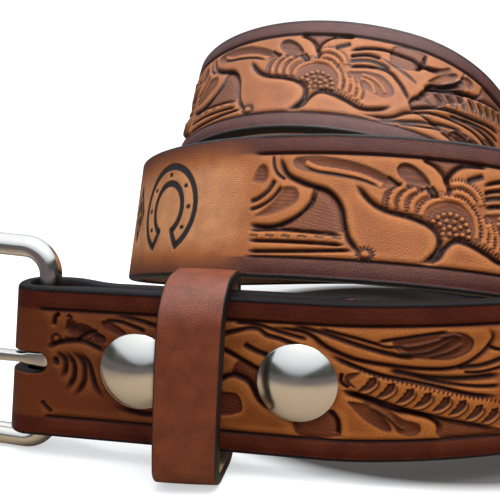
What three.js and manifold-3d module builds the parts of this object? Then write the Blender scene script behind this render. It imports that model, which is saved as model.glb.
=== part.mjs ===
// A tooled leather belt in the western style, coiled up and standing on its lower edge.
// The strap folds round the heel bar of a nickel buckle and is held by two snaps, with a
// loose leather keeper on the doubled end. Millimetres, +Z up, the doubled end along +X.
import * as THREE from 'three';
import Module from 'manifold-3d';
import { mergeVertices } from 'three/addons/utils/BufferGeometryUtils.js';

// Strap leather
const strapLength = 1235;        // fold to tip, along the grain face
const strapWidth = 38.1;
const strapThickness = 4;
const edgeBevel = 0.8;
const tipLength = 30;            // the stretch that narrows to the tip
const tipBlunt = 0.3;            // the tip's own width, as a share of the strap's
const foldThickness = 3.2;       // the leather is skived where it folds
const skiveLength = 9;

// Doubled end
const flapLength = 78;
const flapEndThickness = 1.6;
const flapSkive = 7;             // the flap is thinned over this length at its end
const coilLead = 8;              // the strap starts to curve this much before the flap ends
const layerGap = 0.4;
const fit = 0.3;                 // clearance between any two pieces that touch
const buckleEndHeight = 24.6;    // strap centre above the table at the doubled end

// Buckle
const buckleHeight = 55.2;
const buckleLength = 46;
const wireDiameter = 5.4;
const buckleCornerRadius = 6.5;  // at the wire's centre line
const buckleShift = 2.4;         // the loose buckle sits this much above the strap's centre
const buckleSkew = 3.5;          // and leans by this angle in the fold, in degrees
const pocketLength = 5;          // straight part of the fold before the layers close

// Prong
const prongWidth = 3.8;
const prongThickness = 2.8;
const prongTipWidth = 2.8;
const prongWall = 1.2;
const prongOverhang = 2.4;
const prongSweep = 0.8;          // room round the prong's ring for its square shoulder
const slotHeight = 5.6;
const slotFront = 2.4;           // how far past the bar's centre the slot ends, in front
const slotBack = 1.8;            // and behind, where the flap lets the buckle swing inwards

// Snaps
const snapPlaces = [27.5, 65.3]; // from the fold, along the strap
const snapMargin = 1;            // the layers lie flat from this far before the first flange
const capDiameter = 18.6;
const capHeight = 3.2;
const capRim = 0.5;
const barrelDiameter = 8;
const postDiameter = 4.4;
const eyeletDiameter = 12;
const eyeletThickness = 0.9;

// Keeper
const keeperPlace = 42.5;        // from the fold, along the strap
const keeperWidth = 15;
const keeperWall = 2.2;
const keeperHeightSpare = 5.2;   // how much taller its hollow is than the strap
const keeperFrontSpare = 6.6;    // room in front of the strap, for the tip
const keeperBackSpare = 0.5;
const keeperCorner = 6.5;

// Punched holes near the tip
const holeCount = 5;
const holePitch = 25.4;
const holeDiameter = 5;
const lastHoleFromTip = 64;

// Fineness of the facets
const coilFacet = 8.4;
const straightFacet = 13;
const closeFacet = 3;
const foldSteps = 8;
const pathStep = 1.5;            // between samples of the coil's path, in degrees
const cutOver = 2;               // how far a cut runs past the leather

// The coil, a row for every quarter turn of the grain face, from the left of the first
// turn. x and y are shares of the strap's length, and leanX and leanY the slope of the
// turn's plane there, so that the inner turns rise and lean back as a fan.
const coilStart = -10;           // where the straight doubled end begins, in degrees
const coilRows = [
  { side: 'left', x: -0.0450, y: 0.0683, leanX: -0.009, leanY: -0.031 },
  { side: 'front', x: 0.0129, y: -0.0008, leanX: -0.007, leanY: -0.044 },
  { side: 'right', x: 0.0932, y: 0.0629, leanX: -0.072, leanY: -0.024 },
  { side: 'back', x: 0.0293, y: 0.1355, leanX: -0.021, leanY: -0.076 },
  { side: 'left', x: -0.0393, y: 0.0787, leanX: -0.130, leanY: -0.332 },
  { side: 'front', x: 0.0279, y: 0.0204, leanX: -0.109, leanY: -0.419 },
  { side: 'right', x: 0.0810, y: 0.0735, leanX: -0.166, leanY: -0.103 },
  { side: 'back', x: 0.0323, y: 0.1283, leanX: -0.219, leanY: -0.113 },
  { side: 'left', x: -0.0262, y: 0.1006, leanX: -0.260, leanY: -0.489 },
  { side: 'front', x: 0.0276, y: 0.0546, leanX: -0.275, leanY: -0.714 },
  { side: 'right', x: 0.0653, y: 0.0982, leanX: -0.244, leanY: -0.504 },
  { side: 'back', x: 0.0324, y: 0.1190, leanX: -0.200, leanY: -0.400 },
  { side: 'left', x: 0.0, y: 0.0996, leanX: -0.180, leanY: -0.330 },
  { side: 'front', x: 0.0283, y: 0.0790, leanX: -0.160, leanY: -0.300 },
];

const wasm = await Module();
wasm.setup();

// Materials

const toolLeather = new THREE.MeshStandardMaterial({ color: 0x8a4a22, roughness: 0.5 });
const keeperLeather = new THREE.MeshStandardMaterial({ color: 0x7a3f22, roughness: 0.55 });
const nickel = new THREE.MeshStandardMaterial({ color: 0xc9c6bb, roughness: 0.2, metalness: 1 });

// The strap's path

/** A smooth curve through four slopes, the second at u = 0 and the third at u = 1. */
function blendSlopes(a, b, c, d, u) {
  const linear = (c - a) * u;
  const square = (2 * a - 5 * b + 4 * c - d) * u * u;
  const cube = (3 * b - a - 3 * c + d) * u * u * u;
  return 0.5 * (2 * b + linear + square + cube);
}

/** Plan position and slopes of the coil at an angle: a quarter ellipse from row to row. */
function coilPlan(degrees) {
  const turn = degrees / 90 + 1;
  const index = Math.min(Math.floor(turn), coilRows.length - 2);
  const u = turn - index;
  const from = coilRows[index];
  const to = coilRows[index + 1];
  const before = coilRows[Math.max(index - 1, 0)];
  const after = coilRows[Math.min(index + 2, coilRows.length - 1)];
  const swing = Math.sin((u * Math.PI) / 2);
  const settle = 1 - Math.cos((u * Math.PI) / 2);
  const alongX = from.side === 'front' || from.side === 'back';
  const shareX = alongX ? swing : settle;
  const shareY = alongX ? settle : swing;
  return {
    x: strapLength * (from.x + (to.x - from.x) * shareX),
    y: strapLength * (from.y + (to.y - from.y) * shareY),
    leanX: blendSlopes(before.leanX, from.leanX, to.leanX, after.leanX, u),
    leanY: blendSlopes(before.leanY, from.leanY, to.leanY, after.leanY, u),
  };
}

/** Points and upward directions of the grain face's centre line, the straight end first. */
function samplePath() {
  const plans = [];
  for (let degrees = coilStart; degrees <= 90 * (coilRows.length - 2); degrees += pathStep) {
    plans.push(coilPlan(degrees));
  }
  const first = plans[0];
  const heading = new THREE.Vector2(plans[1].x - first.x, plans[1].y - first.y).normalize();
  const straight = flapLength - coilLead;
  plans.unshift({
    x: first.x - heading.x * straight,
    y: first.y - heading.y * straight,
    leanX: first.leanX,
    leanY: first.leanY,
  });
  let z = buckleEndHeight;
  let travelled = 0;
  return plans.map((plan, i) => {
    if (i > 0) {
      const last = plans[i - 1];
      const dx = plan.x - last.x;
      const dy = plan.y - last.y;
      const dz = ((plan.leanX + last.leanX) * dx + (plan.leanY + last.leanY) * dy) / 2;
      z += dz;
      travelled += Math.hypot(dx, dy, dz);
    }
    return {
      s: travelled,
      point: new THREE.Vector3(plan.x, plan.y, z),
      up: new THREE.Vector3(-plan.leanX, -plan.leanY, 1).normalize(),
    };
  });
}

const path = samplePath();

/** The strap's frame at a distance from the fold: point on the grain, along, up and out. */
function strapAt(distance) {
  const found = path.findIndex((sample) => sample.s > distance);
  const next = found < 1 ? path.length - 1 : found;
  const a = path[next - 1];
  const b = path[next];
  const u = (distance - a.s) / (b.s - a.s);
  const along = b.point.clone().sub(a.point).normalize();
  const up = a.up.clone().lerp(b.up, u).normalize();
  const out = along.clone().cross(up).normalize();
  return { point: a.point.clone().lerp(b.point, u), along, up: out.clone().cross(along), out };
}

/** A point given by its distances along, out of and up the strap, from a frame on it. */
function offset(frame, along, out, up) {
  return frame.point.clone()
    .addScaledVector(frame.along, along)
    .addScaledVector(frame.out, out)
    .addScaledVector(frame.up, up);
}

// Making solids

/** A closed mesh through rings of points; the last ring joins the first where it is looped. */
function loft(rings, looped = false) {
  const count = rings[0].length;
  const positions = rings.flat().flatMap((p) => [p.x, p.y, p.z]);
  const triangles = [];
  const bands = looped ? rings.length : rings.length - 1;
  for (let i = 0; i < bands; i += 1) {
    const here = i * count;
    const there = ((i + 1) % rings.length) * count;
    for (let j = 0; j < count; j += 1) {
      const k = (j + 1) % count;
      triangles.push(here + j, here + k, there + k, here + j, there + k, there + j);
    }
  }
  if (!looped) {
    const end = (rings.length - 1) * count;
    for (let j = 1; j < count - 1; j += 1) {
      triangles.push(0, j + 1, j, end, end + j, end + j + 1);
    }
  }
  const geometry = new THREE.BufferGeometry();
  geometry.setAttribute('position', new THREE.Float32BufferAttribute(positions, 3));
  geometry.setIndex(triangles);
  return volume(geometry) < 0 ? turnInsideOut(geometry) : geometry;
}

/** The volume inside a mesh, negative where its faces point inwards. */
function volume(geometry) {
  const p = geometry.attributes.position;
  const corner = (i) => new THREE.Vector3().fromBufferAttribute(p, geometry.index.getX(i));
  let sum = 0;
  for (let i = 0; i < geometry.index.count; i += 3) {
    sum += corner(i).dot(corner(i + 1).cross(corner(i + 2))) / 6;
  }
  return sum;
}

/** The same mesh with every face turned round. */
function turnInsideOut(geometry) {
  const index = geometry.index;
  for (let i = 0; i < index.count; i += 3) {
    const second = index.getX(i + 1);
    index.setX(i + 1, index.getX(i + 2));
    index.setX(i + 2, second);
  }
  return geometry;
}

/** A three.js geometry as a solid for joining and cutting. */
function toSolid(geometry) {
  const bare = geometry.clone();
  bare.deleteAttribute('normal');
  bare.deleteAttribute('uv');
  const merged = mergeVertices(bare, 1e-4);
  return new wasm.Manifold(new wasm.Mesh({
    numProp: 3,
    vertProperties: new Float32Array(merged.attributes.position.array),
    triVerts: new Uint32Array(merged.index.array),
  }));
}

/** A joined or cut solid as a three.js geometry. */
function toGeometry(solid) {
  const mesh = solid.getMesh();
  const geometry = new THREE.BufferGeometry();
  geometry.setAttribute('position', new THREE.BufferAttribute(mesh.vertProperties, 3));
  geometry.setIndex(new THREE.BufferAttribute(mesh.triVerts, 1));
  return geometry;
}

/** Moves a geometry to a frame on the strap: X along it, Y up it and Z out of its face. */
function seat(geometry, frame) {
  const basis = new THREE.Matrix4().makeBasis(frame.along, frame.up, frame.out);
  return geometry.applyMatrix4(basis.setPosition(frame.point));
}

/** A round punch through the strap, centred on a frame's grain face. */
function punch(frame, diameter, from, to) {
  const cylinder = new THREE.CylinderGeometry(diameter / 2, diameter / 2, to - from, 16);
  cylinder.rotateX(Math.PI / 2);
  cylinder.translate(0, 0, (from + to) / 2);
  cylinder.deleteAttribute('normal');
  cylinder.deleteAttribute('uv');
  return toSolid(seat(mergeVertices(cylinder, 1e-4), frame));
}

// The strap

/** A bevelled section across the strap: from the grain face inwards, and from edge to edge. */
function strapSection(frame, width, thickness) {
  const half = width / 2;
  const bevel = Math.min(edgeBevel, thickness / 3);
  const corners = [
    [0, bevel - half], [0, half - bevel], [bevel, half], [thickness - bevel, half],
    [thickness, half - bevel], [thickness, bevel - half], [thickness - bevel, -half],
    [bevel, -half],
  ];
  return corners.map(([depth, height]) => offset(frame, 0, -depth, height));
}

/** A smooth step from 0 to 1. */
function smoothStep(u) {
  const t = Math.min(Math.max(u, 0), 1);
  return t * t * (3 - 2 * t);
}

const barRadius = wireDiameter / 2;
const foldRadius = barRadius + fit + foldThickness;
const closingLength = snapPlaces[0] - eyeletDiameter / 2 - snapMargin - pocketLength;

/** The leather's thickness on either layer, thinned towards the fold. */
function layerThickness(distance) {
  const grown = smoothStep((distance - pocketLength) / skiveLength);
  return foldThickness + (strapThickness - foldThickness) * grown;
}

/** How far behind the outer grain face the flap's own grain face lies. */
function flapDepth(distance) {
  const closed = 2 * strapThickness + layerGap;
  const open = 2 * foldRadius;
  return open + (closed - open) * smoothStep((distance - pocketLength) / closingLength);
}

/** Evenly spaced distances from one to another, both ends included. */
function spaced(from, to, step) {
  const count = Math.max(1, Math.round((to - from) / step));
  return Array.from({ length: count + 1 }, (_, i) => from + ((to - from) * i) / count);
}

function flapRings() {
  const stops = [
    ...spaced(0, pocketLength, pocketLength),
    ...spaced(pocketLength, pocketLength + closingLength, closeFacet).slice(1),
    ...spaced(pocketLength + closingLength, flapLength - flapSkive, straightFacet).slice(1),
    flapLength,
  ];
  return stops.reverse().map((distance) => {
    const frame = strapAt(distance);
    const thin = distance === flapLength ? flapEndThickness : layerThickness(distance);
    const grain = { ...frame, point: offset(frame, 0, -flapDepth(distance), 0) };
    grain.out = frame.out.clone().negate();
    return strapSection(grain, strapWidth, thin);
  });
}

function foldRings() {
  const frame = strapAt(0);
  const centre = offset(frame, 0, -foldRadius, 0);
  const rings = [];
  for (let i = foldSteps - 1; i > 0; i -= 1) {
    const angle = (Math.PI * i) / foldSteps;
    const out = frame.out.clone().multiplyScalar(Math.cos(angle))
      .addScaledVector(frame.along, -Math.sin(angle));
    const point = centre.clone().addScaledVector(out, foldRadius);
    rings.push(strapSection({ ...frame, out, point }, strapWidth, foldThickness));
  }
  return rings;
}

function outerRings() {
  const straightEnd = flapLength - coilLead;
  const tipStart = strapLength - tipLength;
  const stops = [
    ...spaced(0, pocketLength, pocketLength),
    ...spaced(pocketLength, pocketLength + skiveLength, closeFacet).slice(1),
    ...spaced(pocketLength + skiveLength, straightEnd, straightFacet).slice(1),
    ...spaced(straightEnd, tipStart, coilFacet).slice(1),
    ...spaced(tipStart, strapLength, tipLength / 6).slice(1),
  ];
  return stops.map((distance) => {
    const u = Math.max(0, (distance - tipStart) / tipLength);
    const share = tipBlunt + (1 - tipBlunt) * Math.sqrt(1 - u * u);
    return strapSection(strapAt(distance), strapWidth * share, layerThickness(distance));
  });
}

// The bar's centre is as far into the fold as its lean and its round corners need
const foldFrame = strapAt(0);
const skewRadians = THREE.MathUtils.degToRad(buckleSkew);
const barHalfLength = (buckleHeight - wireDiameter) / 2 - buckleCornerRadius;
const cornerReach = Math.max(0, strapWidth / 2 + buckleShift - barHalfLength);
const cornerCreep = buckleCornerRadius - Math.sqrt(buckleCornerRadius ** 2 - cornerReach ** 2);
const windowCorner = Math.max(0, (buckleCornerRadius - barRadius) ** 2 - cornerReach ** 2);
const cornerSweep = buckleCornerRadius - Math.sqrt(windowCorner) + fit;
const barInset = (strapWidth / 2) * Math.tan(skewRadians) + cornerCreep + fit;
const prongRingRadius = barRadius + fit + prongWall;

/** The bar's own frame: at its centre, leaning with the buckle in the fold. */
function barFrame() {
  const { along, up, out } = foldFrame;
  const leanUp = up.clone().applyAxisAngle(out, -skewRadians);
  const leanAlong = along.clone().applyAxisAngle(out, -skewRadians);
  return { point: offset(foldFrame, barInset, -foldRadius, 0), along: leanAlong, up: leanUp, out };
}

const bar = barFrame();

/** Half of the slot for the prong, on one side of the fold: a long box with a rounded end. */
function prongSlot(pastBar, side) {
  const half = slotHeight / 2;
  const start = -foldRadius - cutOver / 2;
  const end = barInset + pastBar;
  const outline = new THREE.Shape();
  outline.moveTo(start, -half);
  outline.lineTo(end - half, -half);
  outline.absarc(end - half, 0, half, -Math.PI / 2, Math.PI / 2, false);
  outline.lineTo(start, half);
  outline.closePath();
  const depth = foldRadius + cutOver;
  const slot = new THREE.ExtrudeGeometry(outline, { depth, bevelEnabled: false, curveSegments: 8 });
  const overlap = cutOver / 2;
  slot.translate(0, 0, side > 0 ? -foldRadius - overlap : overlap - foldRadius - depth);
  slot.deleteAttribute('normal');
  slot.deleteAttribute('uv');
  return toSolid(seat(mergeVertices(slot, 1e-4), foldFrame));
}

function buildStrap() {
  let strap = toSolid(loft([...flapRings(), ...foldRings(), ...outerRings()]));
  strap = strap.subtract(prongSlot(slotFront, 1)).subtract(prongSlot(slotBack, -1));
  const sweep = prongWidth / 2 + fit;
  strap = strap.subtract(disc(prongRingRadius + prongSweep, -sweep, sweep));
  // The fold's lower edge flares clear of the buckle's round corner, so that it can swing
  const flareTop = buckleShift - barHalfLength;
  strap = strap.subtract(disc(cornerSweep, -strapWidth / 2 - cutOver, flareTop));
  const through = 2 * strapThickness + layerGap + cutOver;
  for (const place of snapPlaces) {
    const frame = strapAt(place);
    const barrelHole = barrelDiameter + 2 * fit;
    const postHole = postDiameter + 2 * fit;
    strap = strap.subtract(punch(frame, barrelHole, -strapThickness - layerGap / 2, cutOver));
    strap = strap.subtract(punch(frame, postHole, -through, -strapThickness));
  }
  for (let i = 0; i < holeCount; i += 1) {
    const frame = strapAt(strapLength - lastHoleFromTip - i * holePitch);
    strap = strap.subtract(punch(frame, holeDiameter, -strapThickness - cutOver, cutOver));
  }
  return toGeometry(strap);
}

// The buckle

/** A rounded rectangle of round wire; its right side is the bar that the strap folds round. */
function buildBuckle() {
  const halfHeight = (buckleHeight - wireDiameter) / 2;
  const length = buckleLength - wireDiameter;
  const r = buckleCornerRadius;
  const corners = [
    { x: -r, y: halfHeight - r, start: 0 },
    { x: r - length, y: halfHeight - r, start: 90 },
    { x: r - length, y: r - halfHeight, start: 180 },
    { x: -r, y: r - halfHeight, start: 270 },
  ];
  const rings = [];
  for (const corner of corners) {
    for (let step = 0; step <= 6; step += 1) {
      const angle = THREE.MathUtils.degToRad(corner.start + step * 15);
      const x = corner.x + r * Math.cos(angle);
      const y = corner.y + r * Math.sin(angle) + buckleShift;
      rings.push(wireRing(x, y, angle));
    }
  }
  return loft(rings, true);
}

/** A round section of the buckle's wire, square to its centre line. */
function wireRing(x, y, angle) {
  const sides = 12;
  return Array.from({ length: sides }, (_, i) => {
    const around = (2 * Math.PI * i) / sides;
    const away = barRadius * Math.cos(around);
    return offset(
      bar, x + away * Math.cos(angle), barRadius * Math.sin(around), y + away * Math.sin(angle));
  });
}

/** A flat prong that curls round the bar and rests on the far side of the buckle. */
function buildProng() {
  const reach = buckleLength - wireDiameter + barRadius + prongOverhang;
  const restLift = barRadius + fit + prongThickness / 2;
  const startLift = prongRingRadius - prongThickness / 2;
  const middleWidth = (prongWidth + prongTipWidth) / 2;
  const thickness = prongThickness;
  const stops = [
    { x: -barRadius, lift: startLift, width: prongWidth, thickness },
    { x: -0.35 * reach, lift: startLift + 0.9, width: prongWidth, thickness },
    { x: -0.75 * reach, lift: restLift, width: middleWidth, thickness },
    { x: prongOverhang / 2 - reach, lift: restLift, width: prongTipWidth, thickness },
    { x: -reach, lift: restLift - 0.3, width: 0.6 * prongTipWidth, thickness: thickness / 2 },
  ];
  const shaft = toSolid(loft(stops.map(prongSection)));
  const ring = disc(prongRingRadius, -prongWidth / 2, prongWidth / 2);
  const bore = disc(barRadius + fit, -prongWidth, prongWidth);
  return toGeometry(shaft.add(ring).subtract(bore));
}

/** An eight-sided section of the prong, rounded at its edges. */
function prongSection({ x, lift, width, thickness }) {
  const w = width / 2;
  const t = thickness / 2;
  const soft = Math.min(w, t) * 0.45;
  const corners = [
    [-w, soft - t], [-w, t - soft], [soft - w, t], [w - soft, t],
    [w, t - soft], [w, soft - t], [w - soft, -t], [soft - w, -t],
  ];
  return corners.map(([across, out]) => offset(bar, x, lift + out, across));
}

/** A round disc on the bar's axis, from one height above the bar's middle to another. */
function disc(radius, bottom, top) {
  const sides = 24;
  const rings = [bottom, top].map((across) => Array.from({ length: sides }, (_, i) => {
    const around = (2 * Math.PI * i) / sides;
    return offset(bar, radius * Math.cos(around), radius * Math.sin(around), across);
  }));
  return toSolid(loft(rings));
}

// The snaps

/** A turned solid: its profile of radius and height runs from the axis back to the axis. */
function turned(profile, frame) {
  const points = profile.map(([radius, height]) => new THREE.Vector2(radius, height));
  const lathe = new THREE.LatheGeometry(points, 24);
  lathe.rotateX(Math.PI / 2);
  lathe.deleteAttribute('normal');
  lathe.deleteAttribute('uv');
  const merged = mergeVertices(lathe, 1e-4);
  dropFlatTriangles(merged);
  const seated = seat(merged, frame);
  return volume(seated) < 0 ? turnInsideOut(seated) : seated;
}

/** Leaves out the triangles that a lathe squeezes flat at its axis. */
function dropFlatTriangles(geometry) {
  const kept = [];
  const index = geometry.index;
  for (let i = 0; i < index.count; i += 3) {
    const [a, b, c] = [index.getX(i), index.getX(i + 1), index.getX(i + 2)];
    if (a !== b && b !== c && c !== a) {
      kept.push(a, b, c);
    }
  }
  geometry.setIndex(kept);
}

/** A domed cap with a hollow barrel that passes through the outer layer. */
function buildCap(frame) {
  const radius = capDiameter / 2;
  const sphere = (radius * radius + capHeight * capHeight) / (2 * capHeight);
  const barrel = barrelDiameter / 2;
  const bore = postDiameter / 2 + fit;
  const base = fit + capRim;
  const dome = [];
  for (let i = 0; i <= 6; i += 1) {
    const r = (radius * i) / 6;
    dome.push([r, base + capHeight - sphere + Math.sqrt(sphere * sphere - r * r)]);
  }
  const profile = [
    ...dome,
    [radius, fit], [barrel, fit], [barrel, -strapThickness],
    [bore, -strapThickness], [bore, -fit], [0, -fit],
  ];
  return turned(profile, frame);
}

/** The flanged stud behind the flap, whose post enters the cap's barrel. */
function buildStud(frame) {
  const back = -2 * strapThickness - layerGap - fit;
  const post = postDiameter / 2;
  const flange = eyeletDiameter / 2;
  const soft = 0.35 * eyeletThickness;
  const profile = [
    [0, -2 * fit], [0.8 * post, -2 * fit], [post, -2 * fit - 0.6], [post, back], [flange, back],
    [flange, back - eyeletThickness + soft], [flange - soft, back - eyeletThickness],
    [0, back - eyeletThickness],
  ];
  return turned(profile, frame);
}

// The keeper

/** A rectangle with round corners, as a shape or a hole. */
function roundedBox(shape, left, bottom, right, top, r) {
  const quarter = Math.PI / 2;
  shape.moveTo(left + r, bottom);
  shape.lineTo(right - r, bottom);
  shape.absarc(right - r, bottom + r, r, -quarter, 0, false);
  shape.lineTo(right, top - r);
  shape.absarc(right - r, top - r, r, 0, quarter, false);
  shape.lineTo(left + r, top);
  shape.absarc(left + r, top - r, r, quarter, 2 * quarter, false);
  shape.lineTo(left, bottom + r);
  shape.absarc(left + r, bottom + r, r, 2 * quarter, 3 * quarter, false);
  return shape;
}

/** A leather band bent into a loop round both layers of the strap. */
function buildKeeper() {
  const frame = strapAt(keeperPlace);
  const half = (strapWidth + keeperHeightSpare) / 2;
  const back = -(2 * strapThickness + layerGap + keeperBackSpare);
  const wall = keeperWall;
  const inner = keeperCorner - wall;
  const front = keeperFrontSpare;
  const outline = roundedBox(
    new THREE.Shape(), back - wall, -half - wall, front + wall, half + wall, keeperCorner);
  outline.holes.push(roundedBox(new THREE.Path(), back, -half, front, half, inner));
  const loop = new THREE.ExtrudeGeometry(
    outline, { depth: keeperWidth, bevelEnabled: false, curveSegments: 5 });
  loop.translate(0, 0, -keeperWidth / 2);
  const basis = new THREE.Matrix4().makeBasis(frame.out, frame.up, frame.along);
  loop.applyMatrix4(basis.setPosition(frame.point));
  loop.deleteAttribute('normal');
  loop.deleteAttribute('uv');
  const merged = mergeVertices(loop, 1e-4);
  return volume(merged) < 0 ? turnInsideOut(merged) : merged;
}

// The belt

/** A named mesh. */
function piece(name, geometry, material) {
  const mesh = new THREE.Mesh(geometry, material);
  mesh.name = name;
  return mesh;
}

const pieces = new THREE.Group();
pieces.add(piece('strap', buildStrap(), toolLeather));
pieces.add(piece('keeper', buildKeeper(), keeperLeather));
pieces.add(piece('buckle_frame', buildBuckle(), nickel));
pieces.add(piece('prong', buildProng(), nickel));
snapPlaces.forEach((place, i) => {
  const frame = strapAt(place);
  pieces.add(piece(`snap_cap_${i + 1}`, buildCap(frame), nickel));
  pieces.add(piece(`snap_stud_${i + 1}`, buildStud(frame), nickel));
});

// Turned so that the doubled end runs along X, and stood with its lowest point at Z = 0
const heading = Math.atan2(foldFrame.along.y, foldFrame.along.x);
pieces.rotation.z = -heading;
const belt = new THREE.Group();
belt.add(pieces);
belt.updateMatrixWorld(true);
const reach = new THREE.Box3().setFromObject(belt, true);
const middle = reach.getCenter(new THREE.Vector3());
pieces.position.set(-middle.x, -middle.y, -reach.min.z);

export default belt;
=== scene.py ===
import math

import bpy
import numpy as np
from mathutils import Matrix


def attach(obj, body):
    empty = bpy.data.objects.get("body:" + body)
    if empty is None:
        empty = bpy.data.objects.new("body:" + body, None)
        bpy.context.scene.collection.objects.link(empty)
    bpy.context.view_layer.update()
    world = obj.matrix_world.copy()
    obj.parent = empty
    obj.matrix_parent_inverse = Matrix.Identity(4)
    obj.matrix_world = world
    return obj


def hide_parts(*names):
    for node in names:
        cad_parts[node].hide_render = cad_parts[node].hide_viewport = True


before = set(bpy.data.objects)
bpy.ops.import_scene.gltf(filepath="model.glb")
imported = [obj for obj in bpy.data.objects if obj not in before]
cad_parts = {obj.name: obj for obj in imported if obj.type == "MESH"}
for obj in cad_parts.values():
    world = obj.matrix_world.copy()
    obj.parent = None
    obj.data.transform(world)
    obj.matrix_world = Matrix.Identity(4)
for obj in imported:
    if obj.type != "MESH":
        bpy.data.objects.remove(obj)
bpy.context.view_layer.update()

# Camera: a standing viewer a little above the belt, looking down at it with a short telephoto lens.
photo_width_px = 500
focal_px = 807
sensor_mm = 36
camera_data = bpy.data.cameras.new("camera")
camera_data.sensor_width = sensor_mm
camera_data.lens = sensor_mm * focal_px / photo_width_px
camera_data.clip_start = 0.01
camera_data.clip_end = 20
camera = bpy.data.objects.new("camera", camera_data)
camera.location = (0.025555, -0.251611, 0.098628)
camera.rotation_euler = (math.radians(90 - 13.88), 0, math.radians(10.999))
bpy.context.scene.collection.objects.link(camera)
bpy.context.scene.camera = camera

# Strap, its path: one strap of 4 mm leather, pared where it folds round the buckle, coiled on its edge.
# The middle of its grain face runs straight along the doubled end, then in quarter ellipses from row to
# row of a spiral whose inner turns rise and lean back. Lengths are in millimetres here.
strap_length = 1235
strap_width = 38.1
strap_thickness = 4
fold_thickness = 3.2
fold_radius = 6.2
flap_length = 78
closing_length = 15.5
closing_depth = 4
thin_run = 5
thickening_run = 9
skived_run = 7
skived_thickness = 1.6
tip_length = 30
tip_share = 0.3
straight_length = 70
buckle_end_height = 24.6
coil_start = -10
coil_rows = np.array([
    (-0.0450, 0.0683, -0.009, -0.031),
    (0.0129, -0.0008, -0.007, -0.044),
    (0.0932, 0.0629, -0.072, -0.024),
    (0.0293, 0.1355, -0.021, -0.076),
    (-0.0393, 0.0787, -0.130, -0.332),
    (0.0279, 0.0204, -0.109, -0.419),
    (0.0810, 0.0735, -0.166, -0.103),
    (0.0323, 0.1283, -0.219, -0.113),
    (-0.0262, 0.1006, -0.260, -0.489),
    (0.0276, 0.0546, -0.275, -0.714),
    (0.0653, 0.0982, -0.244, -0.504),
    (0.0324, 0.1190, -0.200, -0.400),
    (0.0, 0.0996, -0.180, -0.330),
    (0.0283, 0.0790, -0.160, -0.300),
])


def unit(vectors):
    """Each vector divided by its own length."""
    return vectors / np.linalg.norm(vectors, axis=-1, keepdims=True)


def blend_rows(a, b, c, d, u):
    """Smooth curve from b to c: (2b + (c - a)u + (2a - 5b + 4c - d)u2 + (3b - a - 3c + d)u3) / 2."""
    return 0.5 * (2 * b + (c - a) * u + (2 * a - 5 * b + 4 * c - d) * u**2 + (3 * b - a - 3 * c + d) * u**3)


def coil_stations(step=0.25):
    """Travelled length, points and up directions of the path. From a front or back row x goes with
    sin(u pi/2) and y with 1 - cos(u pi/2), from a left or right row the other way round; the height is
    the sum of slope times plan step."""
    last = len(coil_rows) - 1
    degrees = np.arange(coil_start, 90 * (last - 1) + step / 2, step)
    turn = degrees / 90 + 1
    index = np.minimum(turn.astype(int), last - 1)
    u = (turn - index)[:, None]
    before, start, end, after = (coil_rows[np.clip(index + k, 0, last)] for k in (-1, 0, 1, 2))
    swing = np.sin(u[:, 0] * math.pi / 2)
    settle = 1 - np.cos(u[:, 0] * math.pi / 2)
    along_x = index % 2 == 1
    share = np.stack([np.where(along_x, swing, settle), np.where(along_x, settle, swing)], 1)
    plan = strap_length * (start[:, :2] + (end[:, :2] - start[:, :2]) * share)
    lean = blend_rows(before, start, end, after, u)[:, 2:]
    heading = unit(plan[1] - plan[0])
    plan = np.vstack([plan[0] - heading * straight_length, plan])
    lean = np.vstack([lean[0], lean])
    steps = np.diff(plan, axis=0)
    rise = np.sum((lean[1:] + lean[:-1]) / 2 * steps, axis=1)
    height = buckle_end_height + np.concatenate([[0], np.cumsum(rise)])
    length = np.concatenate([[0], np.cumsum(np.sqrt(np.sum(steps**2, axis=1) + rise**2))])
    points = np.column_stack([plan, height])
    ups = unit(np.column_stack([-lean, np.ones(len(lean))]))
    turned = -math.atan2(heading[1], heading[0])
    spin = np.array([
        (math.cos(turned), -math.sin(turned), 0),
        (math.sin(turned), math.cos(turned), 0),
        (0, 0, 1),
    ])
    return length, points @ spin.T, ups @ spin.T


path_length, path_points, path_ups = coil_stations()
path_along = unit(np.gradient(path_points, path_length, axis=0))


def between(lengths, rows):
    """Rows read off at the given lengths along the path, straight between stations."""
    return np.stack([np.interp(lengths, path_length, rows[:, k]) for k in range(3)], -1)


def strap_at(lengths):
    """Point on the grain face, and the directions along, up and out of it."""
    point = between(lengths, path_points)
    along = unit(between(lengths, path_along))
    up = between(lengths, path_ups)
    out = unit(np.cross(along, up))
    return point, along, np.cross(out, along), out


def smooth_step(u):
    """0 below 0, 1 above 1, and 3u2 - 2u3 between."""
    t = np.clip(u, 0, 1)
    return t * t * (3 - 2 * t)


def layer_thickness(distance):
    """Pared leather at the fold, growing to the full thickness between 5 and 14 mm from it."""
    full = smooth_step((distance - thin_run) / thickening_run)
    return fold_thickness + (strap_thickness - fold_thickness) * full


def grain_line(travel):
    """Centre line of the grain face by travel: 0 at the fold's front, negative round the fold and back
    along the flap. Gives point, along, up, normal and thickness."""
    arc = math.pi * fold_radius
    outer = np.maximum(travel, 0)
    behind = np.maximum(-travel - arc, 0)
    angle = np.clip(-travel / fold_radius, 0, math.pi)[:, None]
    point, along, up, out = strap_at(outer + behind)
    depth = 2 * fold_radius - closing_depth * smooth_step((behind - thin_run) / closing_length)
    normal = np.cos(angle) * out - np.sin(angle) * along
    heading = np.cos(angle) * along + np.sin(angle) * out
    centre = point - fold_radius * out
    on_flap = (travel < -arc)[:, None]
    place = np.where(on_flap, point - depth[:, None] * out, centre + fold_radius * normal)
    thickness = layer_thickness(outer + behind)
    skived = smooth_step((behind - flap_length + skived_run) / skived_run)
    return place, heading, up, normal, thickness - (strap_thickness - skived_thickness) * skived


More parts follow.
